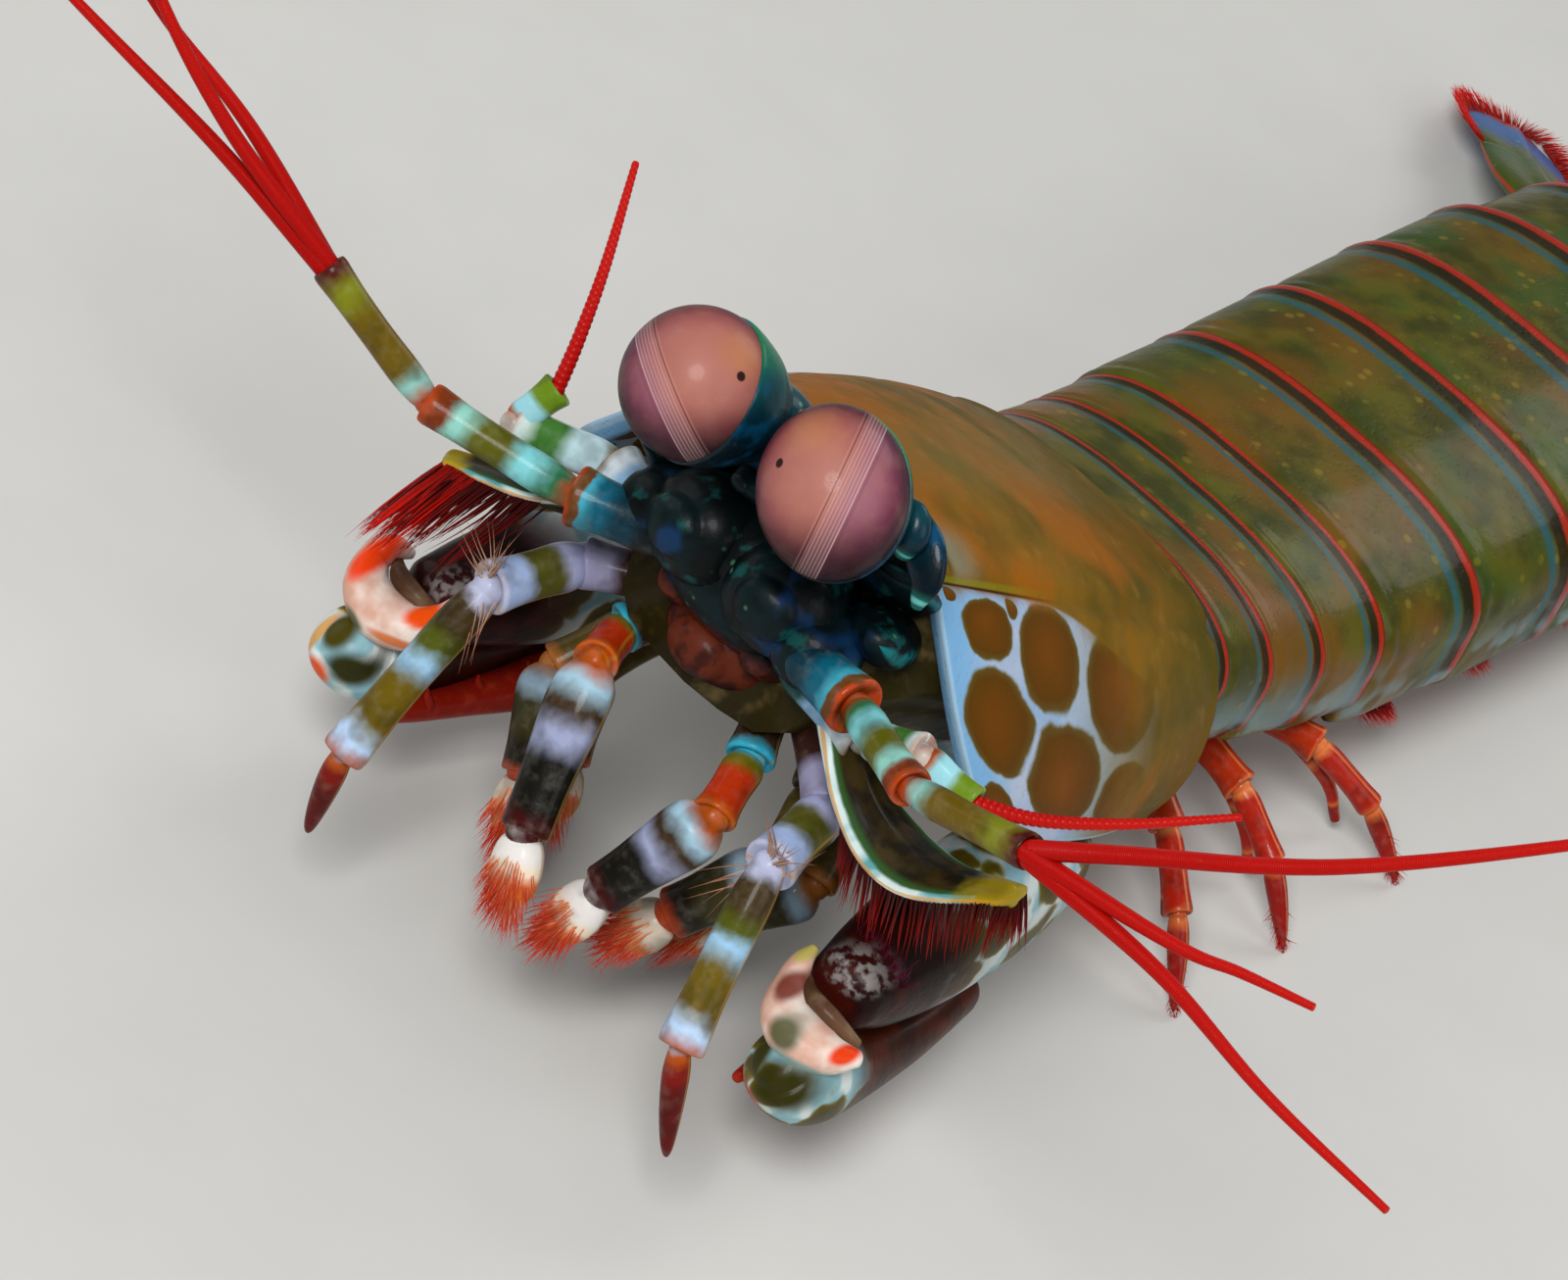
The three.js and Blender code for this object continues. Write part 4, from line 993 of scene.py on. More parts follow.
@dataclass(frozen=True)
class ClawFinish(Finish):
    """A claw's shell: one living colour with a network of olive spots, and dabs of warm colour."""

    side: Side = Side.LEFT
    ground: tuple[str, str] = ("#c9b3a4", "#e8ddd0")
    network: float = 0.0  # how far the pale blue network with olive spots covers it
    fade: Span = (2.0, 3.0)  # along the map, where the network gives way to the ground
    dabs: tuple[Dab, ...] = ()

    def paint(self, g: Graph) -> Paint:
        """The ground with its network, then the dabs."""
        u, _ = g.uv()
        colour = g.mix(g.patches(2.6, 3.0, 0.38, 0.64), *self.ground)
        if self.network:
            stir = g.node("ShaderNodeTexNoise", None, {"Vector": g.place(), "Scale": 0.5}, 1)
            cell = g.cells(3.3, g.vector("ADD", g.place(), g.vector("SCALE", stir, scale=1.6)))
            spot = cell.ramp((0.0, "#3a3c0c"), (0.28, "#4d480c"), (0.42, "#6a5c14"), (0.5, "#9c9450"))
            web = g.mix(g.patches(2.0, 2.0, 0.42, 0.6), "#9cc4cc", "#dce4e2")
            pattern = g.mix(cell.rise(0.44, 0.52), spot, web)
            colour = g.mix(u.rise(*self.fade[::-1]) * self.network, colour, pattern)
        for dab in self.dabs:
            colour = dab.over(g, colour, self.side)
        return Paint(colour, g.noise(0.8) * 0.2 + (self.roughness - 0.1), g.noise(0.6))


@dataclass(frozen=True)
class PlainFinish(Finish):
    """One living colour that turns to another along the piece, with mottling."""

    root: str = "#8a2a0c"
    tip: str = "#c8480f"
    fleck: str = "#e08a3a"
    grain: float = 0.8
    turn: Span = (0.2, 0.9)

    def paint(self, g: Graph) -> Paint:
        """A run from root to tip with flecks."""
        u, _ = g.uv()
        colour = g.mix(u.stir(1.5, 0.2).rise(*self.turn), self.root, self.tip)
        colour = g.mix(g.patches(self.grain, 4.0, 0.5, 0.75) * 0.5, colour, self.fleck)
        return Paint(colour, height=g.noise(self.grain * 0.5))


@dataclass(frozen=True)
class TelsonFinish(Finish):
    """The green tail plate, with dark hollows, a pale middle keel and red teeth."""

    def paint(self, g: Graph) -> Paint:
        """Green between the keels, ochre on them, blue and red to the margin."""
        u, v = g.uv()
        colour = g.coats(
            g.mix(g.patches(2.6, 4.0, 0.35, 0.65), "#20401a", "#3f6420"),
            ((abs(v - 0.5) * 20).math("PINGPONG", 1.5).rise(0.5, 0.1) * 0.6, "#a2882e"),
            (u.rise(0.72, 0.9) * 0.8, "#14656a"),
            (u.rise(0.9, 0.97), "#b5351a"),
            (abs(v - 0.5).rise(0.42, 0.49) * 0.8, "#9c3412"),
        )
        return Paint(colour, g.noise(1.0) * 0.25 + 0.24, g.noise(0.8))


@dataclass(frozen=True)
class UropodFinish(Finish):
    """A tail fan lobe: green at the root, blue to the end, and red at its rim."""

    coat: float = 0.15
    blue: str = "#1464a8"

    def paint(self, g: Graph) -> Paint:
        """Green, then a bright blue patch, then a red rim."""
        u, v = g.uv()
        line = u.stir(2.0, 0.12)
        colour = g.coats(
            g.mix(g.noise(2.0, 4.0), "#2f5a20", "#6c6a1c"),
            (line.rise(0.3, 0.55), self.blue),
            (line.rise(0.8, 0.93), "#b02412"),
            (g.specks(0.9, 0.26, 0.12, 2.4, (0.46, 0.6)) * 0.4, "#7fb0b0"),
            ((v * 2).math("PINGPONG", 0.5).rise(0.07, 0.02) * 0.8, "#c23a14"),
        )
        return Paint(colour, height=g.noise(0.6))


@dataclass(frozen=True)
class SetaFinish(Finish):
    """Soft bristles, darker at the root than at the tip."""

    root: str = "#5a0806"
    tip: str = "#c4180c"

    def paint(self, g: Graph) -> Paint:
        """A run of colour along each bristle."""
        along = g.node("ShaderNodeAttribute", {"attribute_name": "tipward"}, output="Fac")
        return Paint(g.mix(along.rise(0.1, 0.8), self.root, self.tip))


# Lays out a node tree's points, small form, turn and size from its named inputs
Growth = Callable[[Graph, dict[str, Wire]], dict[str, Wire]]


def marked(g: Graph, curve: Wire, factor: Wire) -> Wire:
    """A curve whose points carry how far along it they are."""
    inputs = {"Geometry": curve, "Name": "tipward", "Value": factor}
    return g.node("GeometryNodeStoreNamedAttribute", {"data_type": "FLOAT", "domain": "POINT"}, inputs)


def skin(g: Graph, curve: Wire, sides: Wire | int, scale: Wire) -> Wire:
    """A round closed skin along a curve."""
    ring = g.node("GeometryNodeCurvePrimitiveCircle", None, {"Resolution": sides, "Radius": 1.0})
    inputs = {"Curve": curve, "Profile Curve": ring, "Scale": scale, "Fill Caps": True}
    return g.node("GeometryNodeCurveToMesh", None, inputs)


def growth_tree(name: str, sockets: dict[str, str], design: Growth) -> bpy.types.NodeTree:
    """Makes a node tree that sets a small form on many points, or finds it again.

    Args:
        name: The tree's name.
        sockets: Its named inputs, each with its kind.
        design: Works out the points, the small form, its turn and its size.

    Returns:
        The node tree.
    """
    known = bpy.data.node_groups.get(name)
    if known:
        return known
    tree = bpy.data.node_groups.new(name, "GeometryNodeTree")
    for word, kind in {"Geometry": "Geometry", **sockets, "Finish": "Material"}.items():
        tree.interface.new_socket(word, in_out="INPUT", socket_type="NodeSocket" + kind)
    tree.interface.new_socket("Geometry", in_out="OUTPUT", socket_type="NodeSocketGeometry")
    g = Graph(tree)
    given = {s.name: Wire(g, s) for s in tree.nodes.new("NodeGroupInput").outputs if s.name}
    many = g.node("GeometryNodeInstanceOnPoints", None, design(g, given))
    real = g.node("GeometryNodeRealizeInstances", None, {0: many})
    soft = g.node("GeometryNodeSetShadeSmooth", None, {0: real})
    done = g.node("GeometryNodeSetMaterial", None, {"Geometry": soft, "Material": given["Finish"]})
    g.put(tree.nodes.new("NodeGroupOutput").inputs[0], done)
    return tree


def grown(
    name: str, source: bpy.types.Mesh, tree: bpy.types.NodeTree, values: dict[str, object]
) -> bpy.types.Object:
    """Runs a node tree on a mesh and keeps the result as a plain mesh.

    Args:
        name: The piece's name.
        source: The mesh that the tree starts from.
        tree: The node tree.
        values: The values of the tree's named inputs, with sizes in millimetres.

    Returns:
        The new object.
    """
    host = link(name + "_host", source)
    modifier = host.modifiers.new("grow", "NODES")
    modifier.node_group = tree
    for item in tree.interface.items_tree:
        if item.item_type == "SOCKET" and item.in_out == "INPUT" and item.name in values:
            value = values[item.name]
            modifier[item.identifier] = value * MM if isinstance(value, float) else value
    bpy.context.view_layer.update()
    ready = host.evaluated_get(bpy.context.evaluated_depsgraph_get())
    mesh = bpy.data.meshes.new_from_object(ready)
    mesh.name = name
    bpy.data.objects.remove(host)
    return link(name, mesh)


@dataclass
class Bristles:
    """Soft pointed bristles, grown by Geometry Nodes from roots with a direction each."""

    thickness: float = 0.1  # half width at the root, in millimetres
    bow: float = 0.18  # how far a bristle bows, as a share of its length
    sides: int = 3
    seed: int = 5

    @staticmethod
    def design(g: Graph, given: dict[str, Wire]) -> dict[str, Wire]:
        """Lays out one bowed bristle, turned to each root's own direction and as long as its reach.

        Args:
            g: The node tree.
            given: The tree's named inputs.

        Returns:
            The roots, the bristle, its turn and its size.
        """
        middle = g.node("ShaderNodeCombineXYZ", None, {0: given["Bow"], 2: 0.5})
        path = {"Resolution": 5, "Start": (0, 0, 0), "Middle": middle, "End": (0, 0, 1)}
        curve = g.node("GeometryNodeCurveQuadraticBezier", None, path)
        factor = g.node("GeometryNodeSplineParameter")
        one = skin(g, marked(g, curve, factor), given["Sides"], (1.04 - factor) * given["Thickness"])
        lie = g.node("GeometryNodeInputNamedAttribute", {"data_type": "FLOAT_VECTOR"}, {"Name": "lie"})
        reach = g.node("GeometryNodeInputNamedAttribute", {"data_type": "FLOAT"}, {"Name": "reach"})
        aim = g.node("FunctionNodeAlignRotationToVector", {"axis": "Z"}, {"Vector": lie})
        chance = {2: 0.0, 3: math.tau, "Seed": given["Seed"]}
        spin = g.node("FunctionNodeRandomValue", {"data_type": "FLOAT"}, chance, 1)
        about = g.node("FunctionNodeAxisAngleToRotation", None, {"Axis": (0, 0, 1), "Angle": spin})
        turned = g.node("FunctionNodeRotateRotation", {"rotation_space": "LOCAL"}, {0: aim, 1: about})
        size = g.node("ShaderNodeCombineXYZ", None, {0: 1.0, 1: 1.0, 2: reach})
        return {"Points": given["Geometry"], "Instance": one, "Rotation": turned, "Scale": size}

    def grow(
        self, name: str, roots: Array, lies: Array, reaches: Array, finish: Finish, slot: str, node: str
    ) -> None:
        """Grows one bristle from each root, and hands them in as one mesh.

        Args:
            name: The piece's name.
            roots: The roots, in millimetres.
            lies: The direction of each bristle.
            reaches: The length of each bristle, in millimetres.
            finish: The bristles' finish.
            slot: Not used.
            node: The node that they stand for.
        """
        seeds = bpy.data.meshes.new(name + "_roots")
        seeds.from_pydata((roots * MM).tolist(), [], [])
        seeds.attributes.new("lie", "FLOAT_VECTOR", "POINT").data.foreach_set("vector", unit(lies).ravel())
        seeds.attributes.new("reach", "FLOAT", "POINT").data.foreach_set("value", reaches * MM)
        sockets = {"Thickness": "Float", "Bow": "Float", "Sides": "Int", "Seed": "Int"}
        values = {
            "Thickness": self.thickness,
            "Bow": self.bow * float(reaches.mean()),
            "Sides": self.sides,
            "Seed": self.seed,
            "Finish": finish.material(),
        }
        piece = grown(name, seeds, growth_tree("bristles", sockets, self.design), values)
        self.bake_map(piece.data, roots)
        settle(piece, node)

    def bake_map(self, mesh: bpy.types.Mesh, roots: Array) -> None:
        """Gives each bristle a small patch of the map at its root's place on the limb.

        Args:
            mesh: The bristles.
            roots: The roots, in the order of the bristles.
        """
        centred = roots - roots.mean(axis=0)
        flat = centred @ np.linalg.svd(centred, full_matrices=False)[2][:2].T
        low, high = flat.min(axis=0), flat.max(axis=0)
        seats = 0.02 + 0.96 * (flat - low) / np.maximum((high - low).max(), 1e-6)
        corners = np.empty(len(mesh.loops), np.int32)
        mesh.loops.foreach_get("vertex_index", corners)
        bristle, local = np.divmod(corners, len(mesh.vertices) // len(roots))
        patch = np.stack([(local // self.sides) / 5 - 0.5, (local % self.sides) / self.sides - 0.5], -1)
        layer = mesh.uv_layers.new(name="OFBake")
        layer.data.foreach_set("uv", (seats[bristle] + patch * 0.003).astype(np.float32).ravel())


@dataclass
class Flagellum:
    """A whip of many short rings, laid along its path by Geometry Nodes."""

    root: float = 0.5
    tip: float = 0.2
    ring: float = 0.1  # millimetres from one ring to the next

    @staticmethod
    def design(g: Graph, given: dict[str, Wire]) -> dict[str, Wire]:
        """Lays out one short rounded ring, set at even steps along the path.

        Args:
            g: The node tree.
            given: The tree's named inputs.

        Returns:
            The steps, the ring, its turn and its size.
        """
        path = g.node("GeometryNodeMeshToCurve", None, {0: given["Geometry"]})
        spaced = {"Curve": path, "Length": given["Spacing"]}
        even = g.node("GeometryNodeResampleCurve", {"mode": "LENGTH"}, spaced)
        factor = g.node("GeometryNodeSplineParameter")
        line = g.node("GeometryNodeCurvePrimitiveLine", None, {"Start": (0, 0, -0.62), "End": (0, 0, 0.62)})
        short = g.node("GeometryNodeResampleCurve", {"mode": "COUNT"}, {"Curve": line, "Count": 5})
        off = abs(g.node("GeometryNodeSplineParameter") - 0.5) * 2
        bead = skin(g, short, 12, 1 - off * off * 0.2)
        ahead = g.node("GeometryNodeInputTangent")
        aim = g.node("FunctionNodeAlignRotationToVector", {"axis": "Z"}, {"Vector": ahead})
        wide = given["Root"] + (given["Tip"] - given["Root"]) * factor
        size = g.node("ShaderNodeCombineXYZ", None, {0: wide, 1: wide, 2: given["Spacing"]})
        return {"Points": marked(g, even, factor), "Instance": bead, "Rotation": aim, "Scale": size}

    def grow(self, name: str, paths: Sequence[Rows], node: str) -> None:
        """Lays a whip along each path, and hands them in as one mesh.

        Args:
            name: The piece's name.
            paths: The paths, as places of the head's frame.
            node: The node that they stand for.
        """
        points, edges = [], []
        for path in paths:
            fine = smooth(HEAD.at(path), 12)
            first = sum(len(p) for p in points)
            points.append(fine)
            edges += [(first + k, first + k + 1) for k in range(len(fine) - 1)]
        line = bpy.data.meshes.new(name + "_path")
        line.from_pydata((np.vstack(points) * MM).tolist(), edges, [])
        values = {"Spacing": self.ring, "Root": self.root, "Tip": self.tip, "Finish": RED_WHIP.material()}
        sockets = {"Spacing": "Float", "Root": "Float", "Tip": "Float"}
        settle(grown(name, line, growth_tree("ringed_whip", sockets, self.design), values), node)


RED_WHIP = SetaFinish("red_whip", roughness=0.42, root="#c01008", tip="#c8160a")
RED_FRINGE = SetaFinish("red_fringe", roughness=0.4, root="#9a0e06", tip="#dc1c0a")
# the scale's red setae, painted dark as shade
SHADED_FRINGE = SetaFinish("dark_fringe", roughness=0.45, root="#480806", tip="#8c120c")
PALE_HAIR = SetaFinish("pale_hair", roughness=0.5, root="#c8a890", tip="#b07c64")
WARM_HAIR = SetaFinish("warm_hair", roughness=0.45, root="#e8a070", tip="#d8340c")
PURPLE_HAIR = SetaFinish("purple_hair", roughness=0.45, root="#3c0a20", tip="#8a1c50")


class Carapace:
    """The shield over the head and the front of the thorax."""

    profiles = (
        ((0, 6.4), (4.2, 6.2), (7.2, 5.1), (9.3, 2.9), (12.0, -0.4), (14.3, -3.2), (15.4, -4.9)),
        ((0, 6.9), (4.8, 6.6), (8.9, 5.2), (12.0, 2.5), (14.2, -0.7), (15.3, -3.5), (15.5, -5.6)),
        ((0, 5.6), (5.0, 5.3), (9.3, 4.1), (12.2, 1.7), (13.7, -1.2), (14.3, -3.7), (14.3, -5.6)),
    )
    front_edge = (-8, -8.2, -8.8, -9.6, -11.2, -13.4, -17)
    rear_edge = (-39.2, -39.6, -39.9, -39.9, -39.6, -38.6, -36.5)
    wall = 1.1
    groove = 0.28
    groove_at = 8.0  # down from the middle, over the surface
    groove_half = 0.42
    rounding = 0.7  # how far in from its edge the margin is rounded
    rows = 96
    columns = 192

    def across(self, values: Row, odd: bool = False) -> Array:
        """Spreads values from the middle to the side over the whole width."""
        right = [-x if odd else x for x in values[:0:-1]]
        return smooth(np.array([*right, *values])[:, None], self.columns // 12)[:, 0]

    def surface(self, inward: float = 0.0) -> Array:
        """Works out the grid of the shell's outer face, moved inwards where asked.

        Args:
            inward: How far below the outer face the grid lies.

        Returns:
            Points in rows from the front to the back, right to left.
        """
        s = np.linspace(0, 1, self.rows + 1)[:, None]
        t = np.linspace(-1, 1, self.columns + 1)[None, :]
        weights = ((1 - s) * (1 - 2 * s), 4 * s * (1 - s), s * (2 * s - 1))
        l, u = (
            sum(w * self.across([p[k] for p in row], k == 0) for w, row in zip(weights, self.profiles))
            for k in (0, 1)
        )
        f = self.across(self.front_edge)[None, :] * (1 - s) + self.across(self.rear_edge)[None, :] * s
        grid = AXIS.at(np.stack([f, l, u], -1))
        normal = unit(np.cross(np.gradient(grid, axis=0), np.gradient(grid, axis=1)))
        normal = normal * np.sign(normal[..., 2:3].mean())
        along, down = s * CARAPACE_LENGTH, np.abs(t) * CARAPACE_GIRTH
        dent = self.groove * bump(down, self.groove_at, self.groove_half)
        dent = dent + 0.05 * bump(along + down * 0.25, 21.5, 0.6) * (down < 18)
        lip = 0.06 * (bump(along, 0.1, 0.35) + bump(down, 21.6, 0.5))
        lip = lip + 0.14 * bump(along, CARAPACE_LENGTH - 0.3, 0.5)
        return grid - normal * (inward + dent - lip)[..., None]

    def build(self) -> None:
        """Builds the shell as one plate with rounded margins."""
        outer = self.surface()
        s = np.arange(self.rows + 1)[:, None] * CARAPACE_LENGTH / self.rows
        t = np.abs(np.linspace(-CARAPACE_GIRTH, CARAPACE_GIRTH, self.columns + 1))[None, :]
        margin = np.minimum(np.minimum(s, CARAPACE_LENGTH - s), CARAPACE_GIRTH - t)
        round_off = np.sqrt(1 - (1 - np.clip(margin / self.rounding, 0.02, 1)) ** 2)
        inner = outer + (self.surface(self.wall) - outer) * round_off[..., None]
        form = Form()
        form.plate(outer, inner, np.linspace(0, 1, self.rows + 1), np.linspace(0, 1, self.columns + 1))
        dull = {"roughness": 0.46, "coat": 0.02, "shine": 0.04}
        finish = CarapaceFinish("carapace_shell", relief=0.05, deep=0.42, **dull)
        form.hand_in("carapace_plate", finish, "carapace_shell", "carapace")


class RostralPlate:
    """The pointed plate hinged to the carapace above the eye stalks, with a low keel."""

    stations = (
        (-7.7, 0, 5.95, 3.9, 0.42), (-6.2, 0, 6.8, 3.6, 0.42), (-4.7, 0, 7.5, 2.3, 0.4),
        (-3.5, 0, 7.9, 0.9, 0.35), (-2.6, 0, 8.08, 0.3, 0.25),
    )  # fmt: skip

    def build(self) -> None:
        """Builds the plate."""
        form = Form()
        form.sweep(AXIS.at(self.stations), AXIS.up, outline(48, 2.6, rib=0.45), steps=10, reach=0.4)
        finish = PlainFinish("rostral_shell", root="#4a6420", tip="#b0a088", fleck="#c8b8a0")
        form.hand_in("rostrum", finish, "carapace_shell", "rostral_plate")


@dataclass
class BodyRings:
    """The rings of the thorax and abdomen, each with its rear rim over the next one."""

    around: int = 120
    along: int = 30
    # The rear spines of the last two rings, as turns from the middle of the back, and their reach
    spines: dict[str, tuple[Row, float]] = field(
        default_factory=lambda: {"abdomen_5": ((86,), 1.5), "abdomen_6": ((16, 44, 74), 2.0)}
    )

    def section(self, ring: Somite, swell: Array) -> Array:
        """The section of a ring at several places along it.

        Args:
            ring: The ring's sizes.
            swell: The scale of the section at each place.

        Returns:
            For each place, points across and up, from the middle of the back round.
        """
        turn = np.linspace(0, math.pi / 2, 10)
        top = np.stack([ring.half * np.sin(turn) ** 0.78, ring.back * np.cos(turn).clip(0) ** 0.82 - 0.6], -1)
        shares = ((1.0, 0.62), (0.955, 1.0), (0.86, 0.94), (0.78, 0.84), (0.42, 1.0), (0.0, 1.02))
        depths = (ring.side,) * 3 + (ring.belly,) * 3
        low = [(ring.half * wide, -depth * drop) for (wide, drop), depth in zip(shares, depths)]
        half = np.vstack([top, low])
        full = np.vstack([half, (half * [-1, 1])[-2:0:-1]])
        closed = smooth(np.vstack([full[-2:], full, full[:2]]), 6)[12 : 12 + len(full) * 6]
        loop = np.vstack([closed, closed[:1]])
        lengths = np.r_[0, np.cumsum(np.linalg.norm(np.diff(loop, axis=0), axis=1))]
        even = np.linspace(0, lengths[-1], self.around, endpoint=False)
        section = np.stack([np.interp(even, lengths, loop[:, k]) for k in (0, 1)], -1)
        above = (section[:, 1] > -ring.side * 0.8)[None, :, None]
        scale = np.where(above, swell[:, None, None], 1.0 + (swell[:, None, None] - 1) * 0.4)
        return section[None] * scale

    def ring(self, index: int) -> Form:
        """Builds one ring, with its spines.

        Args:
            index: The ring's place in SOMITES.

        Returns:
            The ring's form.
        """
        ring, front, rear = SOMITES[index], JOINTS[index], JOINTS[index + 1]
        t = np.linspace(0, 1, self.along)
        swell = 0.93 + 0.06 * np.clip(t / 0.12, 0, 1) + 0.03 * t + 0.012 * bump(t, 0.97, 0.05)
        section = self.section(ring, swell - 0.012 * bump(t, 0.2, 0.05))
        middle = np.asarray(front.origin) + (np.asarray(rear.origin) - np.asarray(front.origin)) * t[:, None]
        ups = unit(front.up + (rear.up - front.up) * t[:, None])
        ahead = unit(front.forward + (rear.forward - front.forward) * t[:, None])
        points = middle[:, None] + section[..., :1] * front.left + section[..., 1:] * ups[:, None]
        over = np.where(section[..., 1:] > -ring.side * 0.8, 0.55, 0.0)
        points = points - ahead[:, None] * over * np.clip((t - 0.8) / 0.2, 0, 1)[:, None, None]
        tucked, closing, inset = np.array([(0.86, 0.9), (0.97, 0.93), (0.02, 0.5)])[..., None, None]
        head = middle[0] + (points[:1] - middle[0]) * tucked + ahead[0] * 0.1
        tail = middle[-1] + (points[-1:] - middle[-1]) * closing + ahead[-1] * inset
        form = Form()
        form.tube(np.concatenate([head, points, tail]), np.concatenate([[0, 0], t, [1, 1]]), (0.5, 1.5))
        turns, reach = self.spines.get(ring.name, ((), 0.0))
        for sign in (1, -1):
            for turn in np.radians(turns):
                l = ring.half * 0.97 * math.sin(turn) ** 0.78
                u = ring.back * 0.94 * math.cos(turn) ** 0.82 - 0.75
                rows = (
                    (2.6, l, u - 0.15, 0.5, 0.35), (0.9, l, u, 0.72, 0.6), (-0.4, l * 0.995, u, 0.55, 0.48),
                    (-reach - 0.1, l * 0.97, u, 0.06, 0.06),
                )  # fmt: skip
                form.sweep(rear.at(rows, sign), rear.up, outline(16), steps=5, span=(0.7, 0.99))
        return form

    def build(self) -> None:
        """Builds all the rings behind the one that the carapace carries."""
        for index, ring in enumerate(SOMITES[1:], 1):
            finish = TergiteFinish("shell_" + ring.name, coat=0.12, green=(index - 1) / (len(SOMITES) - 2))
            self.ring(index).hand_in("tergite_" + ring.name, finish, "body_shell", ring.name)


class ForeBody:
    """The body under the carapace, and the short ring behind it."""

    gap = 0.45  # between the shield and the flesh
    # The flesh below the shield, as shares of its half width and of its depth
    underside = ((1.1, 0.62), (0.98, 0.85), (0.78, 0.97), (0.4, 1.02), (0.0, 1.04))

    def build(self) -> None:
        """Builds the flesh below the shield and the fifth ring of the thorax."""
        shield = Carapace()
        inner = shield.surface(shield.wall + self.gap)[4::4, 37:-37:3]
        rows = len(inner)
        s = np.linspace(0.045, 1.0, rows)
        f, wide, deep = CARAPACE_FRONT - CARAPACE_LENGTH * s, 5.6 + 3.2 * s, 7.6 - 1.2 * s
        low = [np.stack([f, wide * share, -deep * drop], -1) for share, drop in self.underside]
        left = np.stack(low, axis=1)
        form = Form()
        rings = np.concatenate([inner, AXIS.at(left), AXIS.at(left[:, -2::-1], -1)], axis=1)
        form.tube(rings, np.linspace(0, 0.75, rows))
        flesh = PlainFinish("fore_flesh", root="#3c3414", tip="#6a5a26", fleck="#a08a5a", grain=1.6)
        form.hand_in("fore_body", flesh, "body_shell", "thorax_front")
        ring = TergiteFinish("shell_thorax_5", green=0.0)
        BodyRings().ring(0).hand_in("tergite_thorax_5", ring, "body_shell", "thorax_front")


class HeadShell:
    """The dark face between the feelers: two lobes that carry them, and the mouth below."""

    # The middle, the upper lip and one side's lobes and plates, as sections along the head
    middle = (
        (-9.6, 0, -7.6, 5.0, 4.4), (-8.2, 0, -7.4, 4.7, 4.0),
        (-7.0, 0, -7.0, 3.6, 3.0), (-6.4, 0, -6.8, 2.0, 1.8),
    )  # fmt: skip
    lip = ((-10.4, 0, -12.0, 3.4, 2.2), (-9.2, 0, -12.4, 2.9, 2.0), (-8.4, 0, -12.7, 1.9, 1.4))
    lobes = (
        ((-9.4, 2.2, -7.4, 2.6, 2.5), (-7.2, 2.7, -7.5, 3.1, 2.8), (-5.6, 3.0, -7.6, 2.7, 2.4),
         (-4.7, 3.2, -7.7, 1.7, 1.5)),
        ((-9.2, 4.8, -8.2, 2.2, 2.2), (-7.4, 5.4, -8.4, 2.3, 2.2), (-6.2, 5.8, -8.5, 1.7, 1.7)),
        ((-8.4, 1.2, -4.2, 1.5, 0.9), (-6.4, 1.6, -4.0, 1.4, 0.8), (-5.2, 1.9, -4.1, 0.6, 0.4)),
        ((-9.6, 6.0, -4.0, 2.2, 1.0), (-8.4, 6.9, -3.3, 2.0, 0.7), (-7.3, 7.7, -2.9, 1.2, 0.35),
         (-6.8, 8.2, -2.4, 0.3, 0.2)),
        ((-10.2, 6.6, -6.4, 2.0, 1.5), (-8.4, 7.4, -6.2, 1.7, 1.2), (-7.3, 7.9, -6.0, 0.9, 0.7)),
        ((-10.6, 2.4, -10.4, 1.8, 1.5), (-9.0, 2.8, -10.8, 1.6, 1.3), (-8.0, 3.0, -11.0, 0.9, 0.8)),
    )  # fmt: skip

    def build(self) -> None:
        """Builds the middle, the lip, the lobes at the feelers and the plates at the stalks."""
        form = Form()
        form.sweep(HEAD.at(self.middle), HEAD.up, outline(56, 2.3), steps=9)
        form.sweep(HEAD.at(self.lip), HEAD.up, outline(40), steps=9, reach=0.8)
        for side in Side:
            for rows in self.lobes:
                form.sweep(HEAD.at(rows, side.value), HEAD.up, outline(40, 2.2), steps=9)
        finish = FaceFinish("face_shell", roughness=0.42, coat=0.04, deep=0.0)
        form.hand_in("face_shell", finish, "head_shell", "head")


@dataclass(frozen=True)
class EyeLook:
    """One eye's size, place and marks, as [forward, left, up] from its own middle."""

    half: float
    tall: float
    shift: Row  # from the middle of its place on the line of the eyes
    rise: Row  # the way that the eye is tall
    gaze: Row
    across: Row  # over the band, from the inner side to the outer
    band: float  # the band's middle along across
    pupil: Row
    glow: Row
    bright: Row  # the way of the painted light on the cornea, where it is palest


OVERHEAD = (0.0, -0.634, 0.774)  # the way that the light is painted from on both eyes, in the head's frame: the corneas painted darker and the stalks dark blue-green away from it, the stalks green towards it
EYE_LOOKS: dict[Side, EyeLook] = {
    Side.RIGHT: EyeLook(
        half=3.68, tall=3.74, shift=(0.0, 0.26, -0.32), rise=(0.0, 0.0, 1.0), gaze=(0.86, -0.48, 0.05),
        across=(0.308, -0.437, -0.845), band=1.12, pupil=(1.69, 2.34, 2.16), glow=(1.2, 1.6, 2.8),
        bright=(0.828, 0.327, 0.457),
    ),
    Side.LEFT: EyeLook(
        half=3.58, tall=4.12, shift=(0.0, -0.17, 0.21), rise=OVERHEAD, gaze=(0.95, 0.12, 0.26),
        across=(-0.431, 0.886, 0.171), band=0.43, pupil=(3.09, -1.6, 0.26), glow=(2.3, -1.5, 2.2),
        bright=(0.935, 0.157, 0.317),
    ),
}  # fmt: skip


